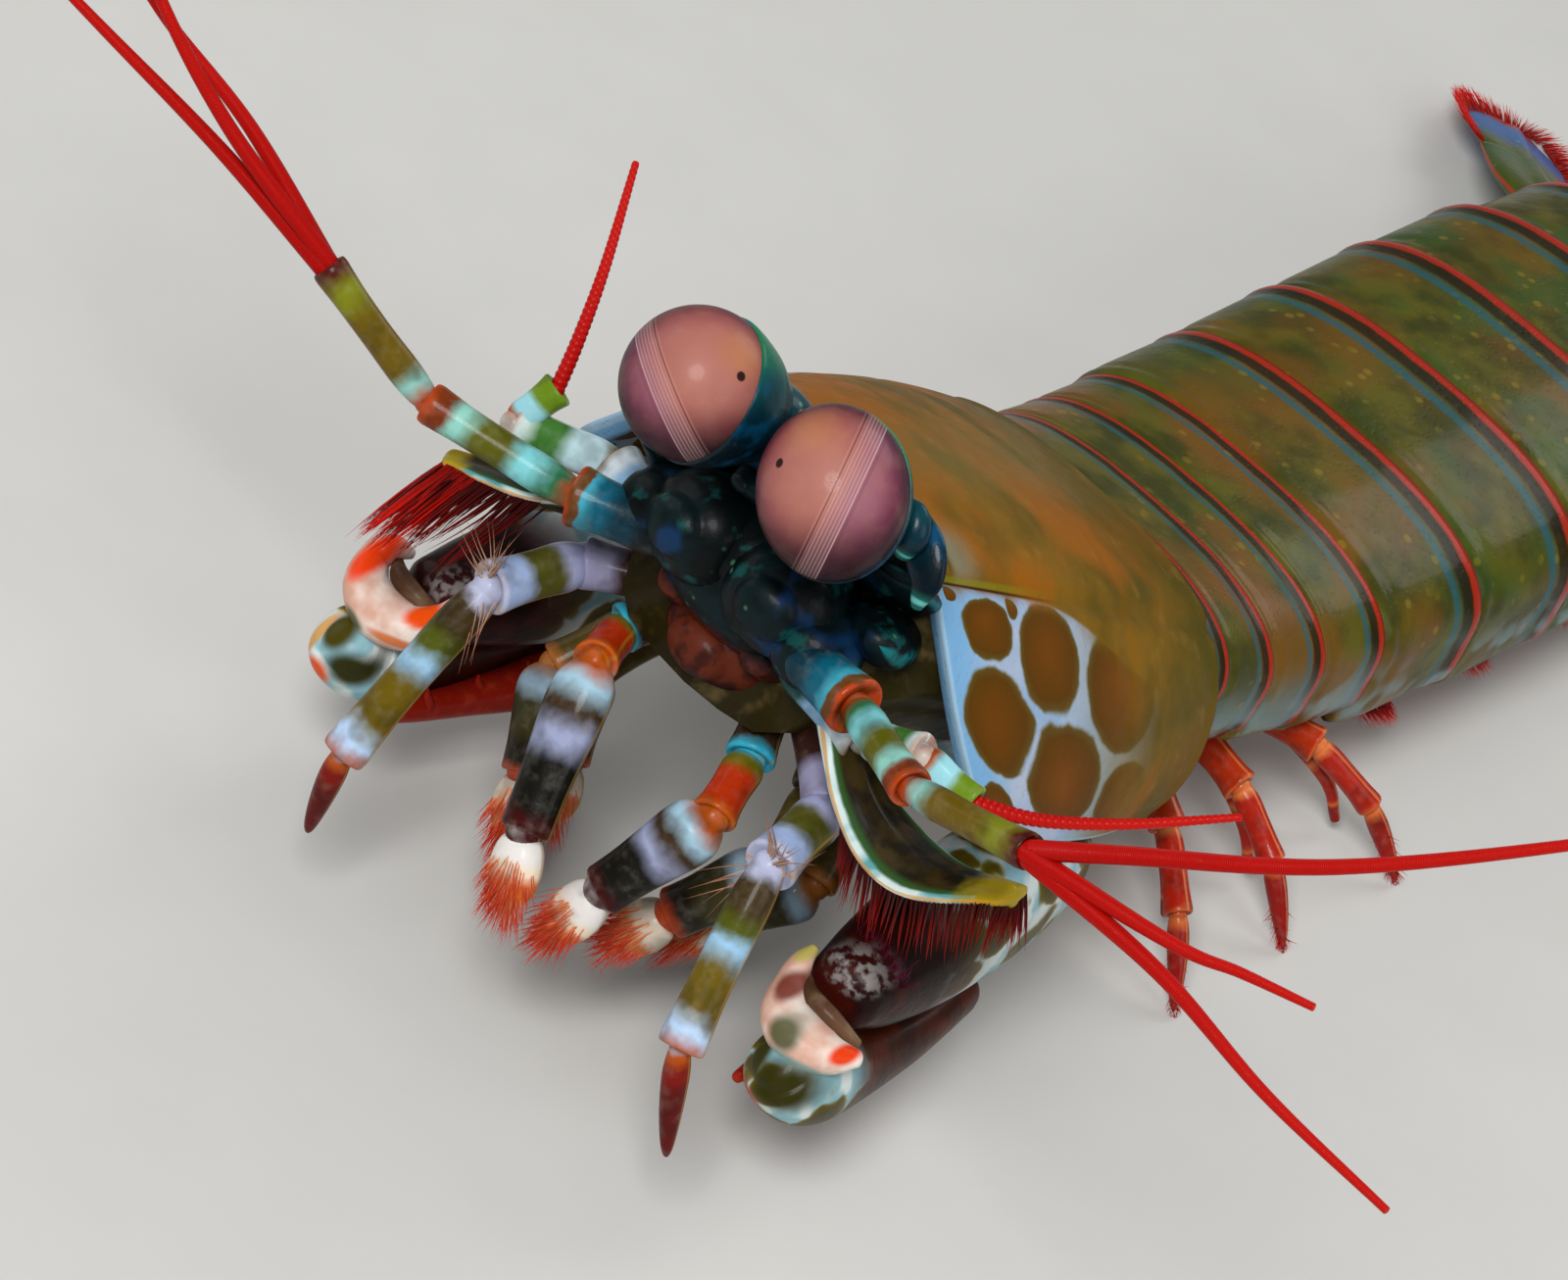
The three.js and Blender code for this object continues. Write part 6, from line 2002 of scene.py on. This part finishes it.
@dataclass
class Claw:
    """The folded claw of one side: arm, wrist, hand and finger."""

    side: Side

    def drawn(self, **parts: float) -> Form:
        """Draws parts of the claw.

        Args:
            parts: How square each part's section is, by its name in CLAW_PARTS.

        Returns:
            The form that holds them.
        """
        form, shift = Form(), CLAW_SHIFT[self.side]
        for part, power in parts.items():
            rows = np.array(CLAW_PARTS[part])
            rows[:, 1] += shift * np.clip((rows[:, 0] + 30) / 15, 0, 1)
            form.sweep(HEAD.at(rows, self.side.value), HEAD.up, outline(48, power), steps=8)
        return form

    def spike(self, form: Form, root: Row, tip: Row, half: float) -> None:
        """Adds a curved spine.

        Args:
            form: The form that it is added to.
            root: Its root, as a place of the head's frame on the left.
            tip: Its tip, in the same way.
            half: Its half width at the root.
        """
        a, b = (HEAD.at(place, self.side.value) for place in (root, tip))
        middle = (a + b) / 2 + 0.08 * np.linalg.norm(b - a) * HEAD.forward
        path = ((a - (b - a) * 0.3, half), (a, half * 0.95), (middle, half * 0.62), (b, 0.05))
        form.spine([(point, wide, wide) for point, wide in path], HEAD.left, 16, (0.3, 0.98), 5)

    def part(self, word: str, form: Form, finish: Finish, node: str) -> None:
        """Hands in one shell of the claw."""
        form.hand_in(f"{word}_{self.side.word}", finish, "claw_shell", f"{node}_{self.side.word}")

    def build(self) -> None:
        """Builds the four parts with their spines, lips and hair."""
        side, word, sign = self.side, self.side.word, self.side.value
        net = {"side": side, "ground": ("#200707", "#4c140c"), "network": 0.9, "fade": (0.5, 0.72)}
        shell = ClawFinish("claw_body_" + word, dabs=ARM_DABS, **net)
        self.part("claw_upper", self.drawn(root=2.2, merus=2.5), shell, "claw_arm")
        wrist, cord = Form(), Form()
        wrist.sweep(HEAD.at(WRISTS[side]), HEAD.forward, outline(48), steps=9)
        pale = ("#d9ac98", "#f2e6dc")
        shell = ClawFinish("claw_wrist_" + word, deep=0.2, side=side, ground=pale, dabs=WRIST_DABS[side])
        self.part("claw_wrist_shell", wrist, shell, "claw_wrist")
        cord.sweep(HEAD.at(SKINS[side]), HEAD.forward, outline(24), steps=9)
        skin = PlainFinish("claw_skin", root="#5a3a28", tip="#7a5a42", fleck="#a08a6c", grain=1.4)
        self.part("claw_wrist_skin", cord, skin, "claw_wrist")
        net |= {"ground": ("#3a1a0c", "#5c2410"), "network": 1.0, "fade": (0.4, 0.6)}
        shell = ClawFinish("claw_hand_" + word, dabs=HAND_DABS[side], **net)
        self.part("claw_hand_shell", self.drawn(propodus=2.2), shell, "claw_hand")
        finger = self.drawn(dactyl=2.2)
        for i in range(3):
            root = (-23.6 + 3.6 * i, 13.4 + 0.25 * i, -25.6 - 1.1 * i)
            self.spike(finger, root, (root[0] + 0.6, root[1] + 0.2, root[2] + 0.8), 0.35)
        red = {"root": "#8a1a0c", "tip": "#a82410", "fleck": "#c8502c"}
        shell = PlainFinish("claw_finger_shell", turn=(0.1, 0.7), **red)
        self.part("claw_finger_shell", finger, shell, "claw_finger")
        rng, count = np.random.default_rng(41), 70
        roots = HEAD.at(np.linspace((-15.0, 13.4, -20.7), (-15.0, 16.4, -20.9), count), sign)
        lies = HEAD.way((0.5, 0.15 * sign, 1.0)) + rng.normal(0, 0.2, (count, 3))
        reach = rng.uniform(1.0, 2.1, count)
        hair = Bristles(thickness=0.07, bow=0.2)
        hair.grow("claw_hair_" + word, roots, lies, reach, PURPLE_HAIR, "claw_shell", "claw_arm_" + word)


@dataclass
class WalkingLegs:
    """The three thin legs of one side, each with its outer branch."""

    side: Side
    knee: float = 6.4
    spread: float = 19.5
    foot: float = 0.62
    swings: Row = (-5, 0, 5.5)  # how far back each foot stands from its ring

    def build(self) -> None:
        """Builds the legs, their branches and the hair at their feet."""
        sign, word, count = self.side.value, self.side.word, 90
        rng = np.random.default_rng(31)
        # edge: the colour of the legs' painted rim light
        finish = LimbFinish("leg_bands", coat=0.2, articles=4, bands=LEG_BANDS, edge="#e8a060")
        up = unit(np.array([0, 1, 0.2]))
        for index, swing in enumerate(self.swings, 1):
            ring = SOMITES[index]
            frame = Frame(JOINTS[index].origin, ring.pitch)
            x, y, z = frame.at([-ring.length / 2, sign * 6.6, -ring.belly + 1.2])
            points = np.array(
                [
                    (x, y, z),
                    (sign * 9.0, y + swing * 0.1, z - 2.4),
                    (sign * 12.6, y + swing * 0.3, self.knee + 0.4),
                    (sign * 16.4, y + swing * 0.7, 4.4),
                    (sign * self.spread, y + swing, 0.35),
                ]
            )
            branch = (
                (sign * 9.6, y + swing * 0.15 + 0.6, z - 2.8, 0.5, 0.5),
                (sign * 13.2, y + swing * 0.4 + 1.8, 3.6, 0.4, 0.4),
                (sign * 14.6, y + swing * 0.5 + 2.2, 1.2, 0.3, 0.3),
            )
            form = Form()
            halves = ((1.5, 1.2), (1.1, 0.95), (0.8, 0.75), (self.foot,))
            Limb(points, halves, (Swell.TIP,), 28, tuple(up)).draw(form)
            form.sweep(np.array(branch), up, outline(20), steps=8, span=(0.3, 0.9))
            node = f"walking_leg_{index}_{word}"
            form.hand_in(f"leg_{index}_{word}", finish, "leg_shell", node)
            shin, end = points[3:]
            roots = shin + (end - shin) * rng.uniform(0.3, 1.0, count)[:, None]
            lies = unit(end - shin) * 1.3 + rng.normal(0, 0.45, (count, 3))
            roots = roots + unit(lies) * 0.3
            lengths = np.minimum(rng.uniform(0.7, 1.3, count), np.maximum(roots[:, 2] - 0.1, 0.15))
            hair = Bristles(thickness=0.05)
            hair.grow(f"leg_hair_{index}_{word}", roots, lies, lengths, RED_FRINGE, "leg_shell", node)


@dataclass
class Pleopods:
    """The five pairs of leaf-shaped swimming limbs of one side."""

    side: Side
    # The stem and both leaves, from the middle of their ring's belly
    parts: tuple[Rows, ...] = (
        ((2.2, 6.2, 1.0, 1.5, 1.1), (-0.4, 6.8, -1.8, 1.5, 0.8)),
        ((0.4, 7.4, -1.6, 1.0, 0.6), (-2.4, 9.0, -2.4, 2.2, 0.42), (-5.0, 9.9, -3.0, 1.3, 0.34)),
        ((0.2, 5.6, -1.8, 1.0, 0.6), (-2.4, 4.7, -2.6, 2.0, 0.42), (-5.0, 4.3, -3.2, 1.2, 0.34)),
    )

    def build(self) -> None:
        """Builds the stems, leaves and fringes."""
        sign, word, rng = self.side.value, self.side.word, np.random.default_rng(17)
        warm = {"root": "#8c3a14", "tip": "#d0400e", "fleck": "#e89a5a"}
        finish = PlainFinish("pleopod_shell", coat=0.15, turn=(0.1, 0.8), **warm)
        first = [ring.name for ring in SOMITES].index("abdomen_1")
        for number in range(1, 6):
            ring, joint = SOMITES[first + number - 1], JOINTS[first + number - 1]
            frame = Frame(joint.origin, ring.pitch)
            stem, *leaves = (
                frame.at([(f - ring.length / 2, l, u - ring.belly, *half) for f, l, u, *half in rows], sign)
                for rows in self.parts
            )
            form = Form()
            form.sweep(stem, frame.up, outline(28, 2.6), steps=8)
            roots, lies = [], []
            for leaf in leaves:
                blade = Blade(leaf, frame.up, steps=12)
                blade.draw(form)
                root, out, along = blade.rim(0.25, (1, -1), 90)
                roots.append(root)
                lies.append(out + along * 0.9 - frame.up * 0.5)
            node = f"pleopod_{number}_{word}"
            form.hand_in(f"swimmer_{number}_{word}", finish, "pleopod_leaf", node)
            root, lie = np.vstack(roots), np.vstack(lies)
            lie = unit(lie) + rng.normal(0, 0.1, lie.shape)
            reach, hair = rng.uniform(1.2, 1.8, len(root)), Bristles(thickness=0.05)
            hair.grow(f"swimmer_fringe_{number}_{word}", root, lie, reach, RED_FRINGE, "pleopod_leaf", node)


@dataclass
class Telson:
    """The tail plate with its keels and its six teeth."""

    length: float = 21
    half: float = 11.6
    keel: float = 0.75
    rows: int = 72
    columns: int = 160
    # Teeth as [along, across, reach, out]
    teeth: Rows = ((1.0, 0.4, 2.6, -0.45), (1.0, 1.0, 2.8, 0.6), (0.667, 1.0, 2.2, 1.0))

    def place(self, s: Array, c: Array, face: int, thin: Array | float = 1.0) -> Array:
        """Works out points of the plate's upper or lower face.

        Args:
            s: How far along the plate they are, from 0 to 1.
            c: How far across it they are, from -1 to 1.
            face: 1 for the upper face, -1 for the lower one.
            thin: The share of the plate's thickness that is left there.

        Returns:
            The points.
        """
        width = self.half * (0.88 + 0.5 * s - 0.86 * s**3)
        ridges = sum(bump(np.abs(c), k, 0.045) for k in (0.0, 0.3, 0.6, 0.9))
        ridge = self.keel * (0.3 + 0.7 * s) * ridges
        crown = (3.6 - 1.9 * s) * np.sqrt(1 - 0.86 * c * c) + ridge - 0.6
        under = -2.6 + 1.4 * s + 1.1 * c * c
        back = 0.25 + (self.length - 0.4) * s * (1 - 0.16 * c * c * s * s)
        up = (crown + under) / 2 + face * thin * (crown - under) / 2
        return TAIL.at(np.stack(np.broadcast_arrays(-back, width * c, up), -1))

    def edge(self, s: float, c: float) -> Array:
        """The middle of the plate's thickness."""
        return (self.place(np.array(s), np.array(c), 1) + self.place(np.array(s), np.array(c), -1)) / 2

    def build(self) -> None:
        """Builds the plate, its teeth and the small points between them."""
        s = np.linspace(0, 1, self.rows + 1)[:, None]
        c = np.linspace(-1, 1, self.columns + 1)[None, :]
        margin = np.minimum(1 - np.abs(c), (1 - s) * 1.8) / 0.09
        thin = np.sqrt(1 - (1 - np.clip(margin, 0.03, 1)) ** 2)
        form = Form()
        form.plate(self.place(s, c, 1, thin), self.place(s, c, -1, thin), s[:, 0], (c[0] + 1) / 2)
        for sign in (1, -1):
            for along, across, reach, out in self.teeth:
                edge = self.edge(along, across * sign)
                tip = edge - TAIL.forward * reach + TAIL.left * out * sign
                root = edge + TAIL.forward * 3.4 - TAIL.left * 0.9 * sign * across
                inset = root * 0.4 + edge * 0.6
                path = ((root, 0.9, 0.7), (inset, 1.15, 0.75), (edge, 0.8, 0.6), (tip, 0.06, 0.06))
                form.spine(path, TAIL.up, 20, (0.86, 0.99))
            for k in range(5):
                edge = self.edge(0.995, (0.07 + 0.062 * k) * sign)
                root, tip = edge + TAIL.forward * 0.7, edge - TAIL.forward * 0.75
                path = ((root, 0.3, 0.3), (edge, 0.26, 0.26), (tip, 0.04, 0.04))
                form.spine(path, TAIL.up, 12, (0.95, 0.99), 4)
        finish = TelsonFinish("telson_shell", coat=0.15, relief=0.05)
        form.hand_in("tail_plate", finish, "tail_shell", "telson")


FLOOR_GAP = (-np.inf, -np.inf, 0.3)  # the fan's bristles start above the floor
FAN_LOBES: dict[str, Rows] = {
    "stem": ((1.6, 9.0, -1.4, 2.4, 1.4), (-1.5, 11.8, -1.7, 2.9, 1.5), (-4.4, 13.4, -1.9, 2.7, 1.3)),
    "outer": ((-3.2, 14.2, -1.8, 2.4, 1.0), (-6.8, 17.2, -1.8, 3.7, 0.9), (-11.4, 20.4, -1.7, 3.9, 0.7)),
    "end": (
        (-10.6, 19.9, -1.7, 2.2, 0.6), (-13.2, 21.7, -1.7, 4.0, 0.55), (-17.2, 24.2, -1.6, 4.2, 0.5),
        (-20.0, 25.8, -1.5, 2.4, 0.4),
    ),
    "inner": (
        (-3.4, 12.4, -2.0, 1.6, 0.8), (-7.8, 13.6, -2.0, 2.3, 0.65), (-13.0, 14.7, -1.8, 2.5, 0.5),
        (-17.0, 15.6, -1.7, 1.3, 0.4),
    ),
}  # fmt: skip


@dataclass
class Uropod:
    """One side of the tail fan: stem, two outer lobes and an inner lobe."""

    side: Side

    def build(self) -> None:
        """Builds the lobes, the spines of the outer margin and the fringes."""
        sign, word, rng = self.side.value, self.side.word, np.random.default_rng(23)
        level = np.array([0, 0, math.sin(math.radians(TAIL_PITCH))])
        stem, fan = Form(), Form()
        stem.sweep(TAIL.at(FAN_LOBES["stem"], sign), TAIL.up, outline(36, 2.6), steps=8, span=(0.0, 0.2))
        lobes = (FAN_LOBES[key] for key in ("outer", "end", "inner"))
        outer, end, inner = (Blade(TAIL.at(rows, sign), TAIL.up) for rows in lobes)
        outer.draw(stem, (0.1, 0.5))
        end.draw(fan)
        inner.draw(fan)
        spines, bristles = 9, 150
        roots, outs, alongs = outer.rim(0.12, (-sign,), spines)
        for root, out, along in zip(roots[:spines], outs, alongs):
            aim = unit(out * 0.75 + along + level)
            path = ((root - aim * 0.9, 0.42, 0.4), (root, 0.42, 0.38), (root + aim * 1.9, 0.05, 0.05))
            stem.spine(path, TAIL.up, 14, (0.86, 0.99))
        node = "uropod_" + word
        green = UropodFinish("uropod_stem_shell", blue="#2f5a20")
        stem.hand_in("fan_root_" + word, green, "tail_shell", node)
        fan.hand_in("fan_blades_" + word, UropodFinish("uropod_blade_shell"), "tail_shell", node)
        roots, lies, lengths = [], [], []
        for blade, length in ((end, 2.6), (inner, 2.2)):
            root, out, along = blade.rim(0.2, (1, -1), bristles)
            roots.append(root)
            lies.append(unit(out + along * 0.9) + level)
            lengths.append(length * rng.uniform(0.8, 1.0, len(root)))
        root, reach = np.maximum(np.vstack(roots), FLOOR_GAP), np.concatenate(lengths)
        lie = unit(np.vstack(lies)) + rng.normal(0, 0.06, (len(root), 3))
        hair = Bristles(thickness=0.075, bow=0.1)
        hair.grow("fan_fringe_" + word, root, lie, reach, RED_FRINGE, "tail_shell", node)


def stand(name: str, data: bpy.types.ID, directions: tuple[Array, ...], spot: Row) -> bpy.types.Object:
    """Puts a camera or light in its place.

    Args:
        name: Its name.
        data: The camera or light.
        directions: Its own right, up and back.
        spot: Its place, in metres.

    Returns:
        The object that holds it.
    """
    holder = link(name, data)
    columns = (*directions, spot)
    holder.matrix_world = Matrix([[column[k] for column in columns] for k in range(3)] + [[0, 0, 0, 1]])
    return holder


@dataclass
class View:
    """The photograph's camera, set by the head's frame."""

    azimuth: float = 22.0  # degrees to the animal's left of its nose
    elevation: float = 17.0  # degrees above the head's forward direction
    roll: float = 36.0
    distance: float = 230.0
    scale: float = 22.0  # pixels to the millimetre at the eyes
    size: tuple[int, int] = (1600, 1306)
    eyes_at: Span = (780.0, 445.0)  # the pixel of the middle between the eyes

    def build(self) -> None:
        """Makes the camera."""
        theta, eps, roll = (math.radians(a) for a in (self.azimuth, self.elevation, self.roll))
        flat = math.cos(eps)
        n = HEAD.way((flat * math.cos(theta), flat * math.sin(theta), math.sin(eps)))
        level = unit(np.cross(-n, HEAD.up))
        over = np.cross(level, -n)
        right = math.cos(roll) * level + math.sin(roll) * over
        top = -math.sin(roll) * level + math.cos(roll) * over
        dx, dy = ((self.size[k] / 2 - self.eyes_at[k]) / self.scale for k in (0, 1))
        aim = HEAD.at([0, 0, 0]) + right * dx - top * dy
        camera = bpy.data.cameras.new("photo_camera")
        camera.sensor_width = 36.0
        camera.sensor_fit = "HORIZONTAL"
        camera.lens = camera.sensor_width * self.scale * self.distance / self.size[0]
        camera.clip_start = 0.005
        camera.clip_end = 10.0
        spot = (aim + self.distance * n) * MM
        bpy.context.scene.camera = stand("photo_camera", camera, (right, top, n), spot)


class Studio:
    """The pale floor and the soft lights."""

    # Lights as [name, place in metres, size, power]
    lights = (
        ("key_light", (0.10, -0.40, 0.44), 0.22, 2.5),
        ("left_light", (0.50, -0.05, 0.30), 0.40, 0.8),
        ("right_light", (-0.45, -0.15, 0.28), 0.40, 0.6),
        ("rear_light", (0.05, 0.50, 0.42), 0.40, 1.2),
    )
    aim = (0.0, -0.03, 0.02)  # the place that they shine on
    reach = 1.2  # from the middle of the floor to its edge
    squares = 24
    below = 0.00002  # the floor lies just under the feet

    def floor(self) -> None:
        """Makes the floor, as a grid of squares."""
        mesh = bpy.data.meshes.new("studio_floor")
        steps = np.linspace(-self.reach, self.reach, self.squares + 1)
        wide = len(steps)
        firsts = [j * wide + i for j in range(self.squares) for i in range(self.squares)]
        faces = [(k, k + 1, k + wide + 1, k + wide) for k in firsts]
        mesh.from_pydata([(x, y, -self.below) for y in steps for x in steps], [], faces)
        mesh.materials.append(FloorFinish("studio_floor", roughness=0.7, coat=0.0, deep=0.0).material())
        floor = link("studio_floor", mesh)

    def build(self) -> None:
        """Makes the floor, the world and the lights."""
        self.floor()
        for name, spot, size, power in self.lights:
            light = bpy.data.lights.new(name, "AREA")
            light.shape = "DISK"
            light.size = size
            light.energy = power
            back = unit(np.subtract(spot, self.aim))
            right = unit(np.cross([0, 0, 1.0], back))
            stand(name, light, (right, np.cross(back, right), back), spot)
        world = bpy.data.worlds.new("studio")
        world.use_nodes = True
        background = world.node_tree.nodes["Background"]
        background.inputs["Color"].default_value = tint("#e6e8ea")
        background.inputs["Strength"].default_value = 0.24
        bpy.context.scene.world = world
        bpy.context.scene.view_settings.view_transform = "Standard"


def main() -> None:
    """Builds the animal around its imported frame."""
    logging.basicConfig(level=logging.INFO, format="%(name)s: %(message)s")
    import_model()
    View().build()
    Studio().build()
    Carapace().build()
    RostralPlate().build()
    ForeBody().build()
    BodyRings().build()
    HeadShell().build()
    for side in Side:
        Eye(side).build()
        HeadLimbs(side).build()
        Claw(side).build()
        WalkingLegs(side).build()
        Pleopods(side).build()
        Uropod(side).build()
    Telson().build()


if __name__ == "__main__":
    main()
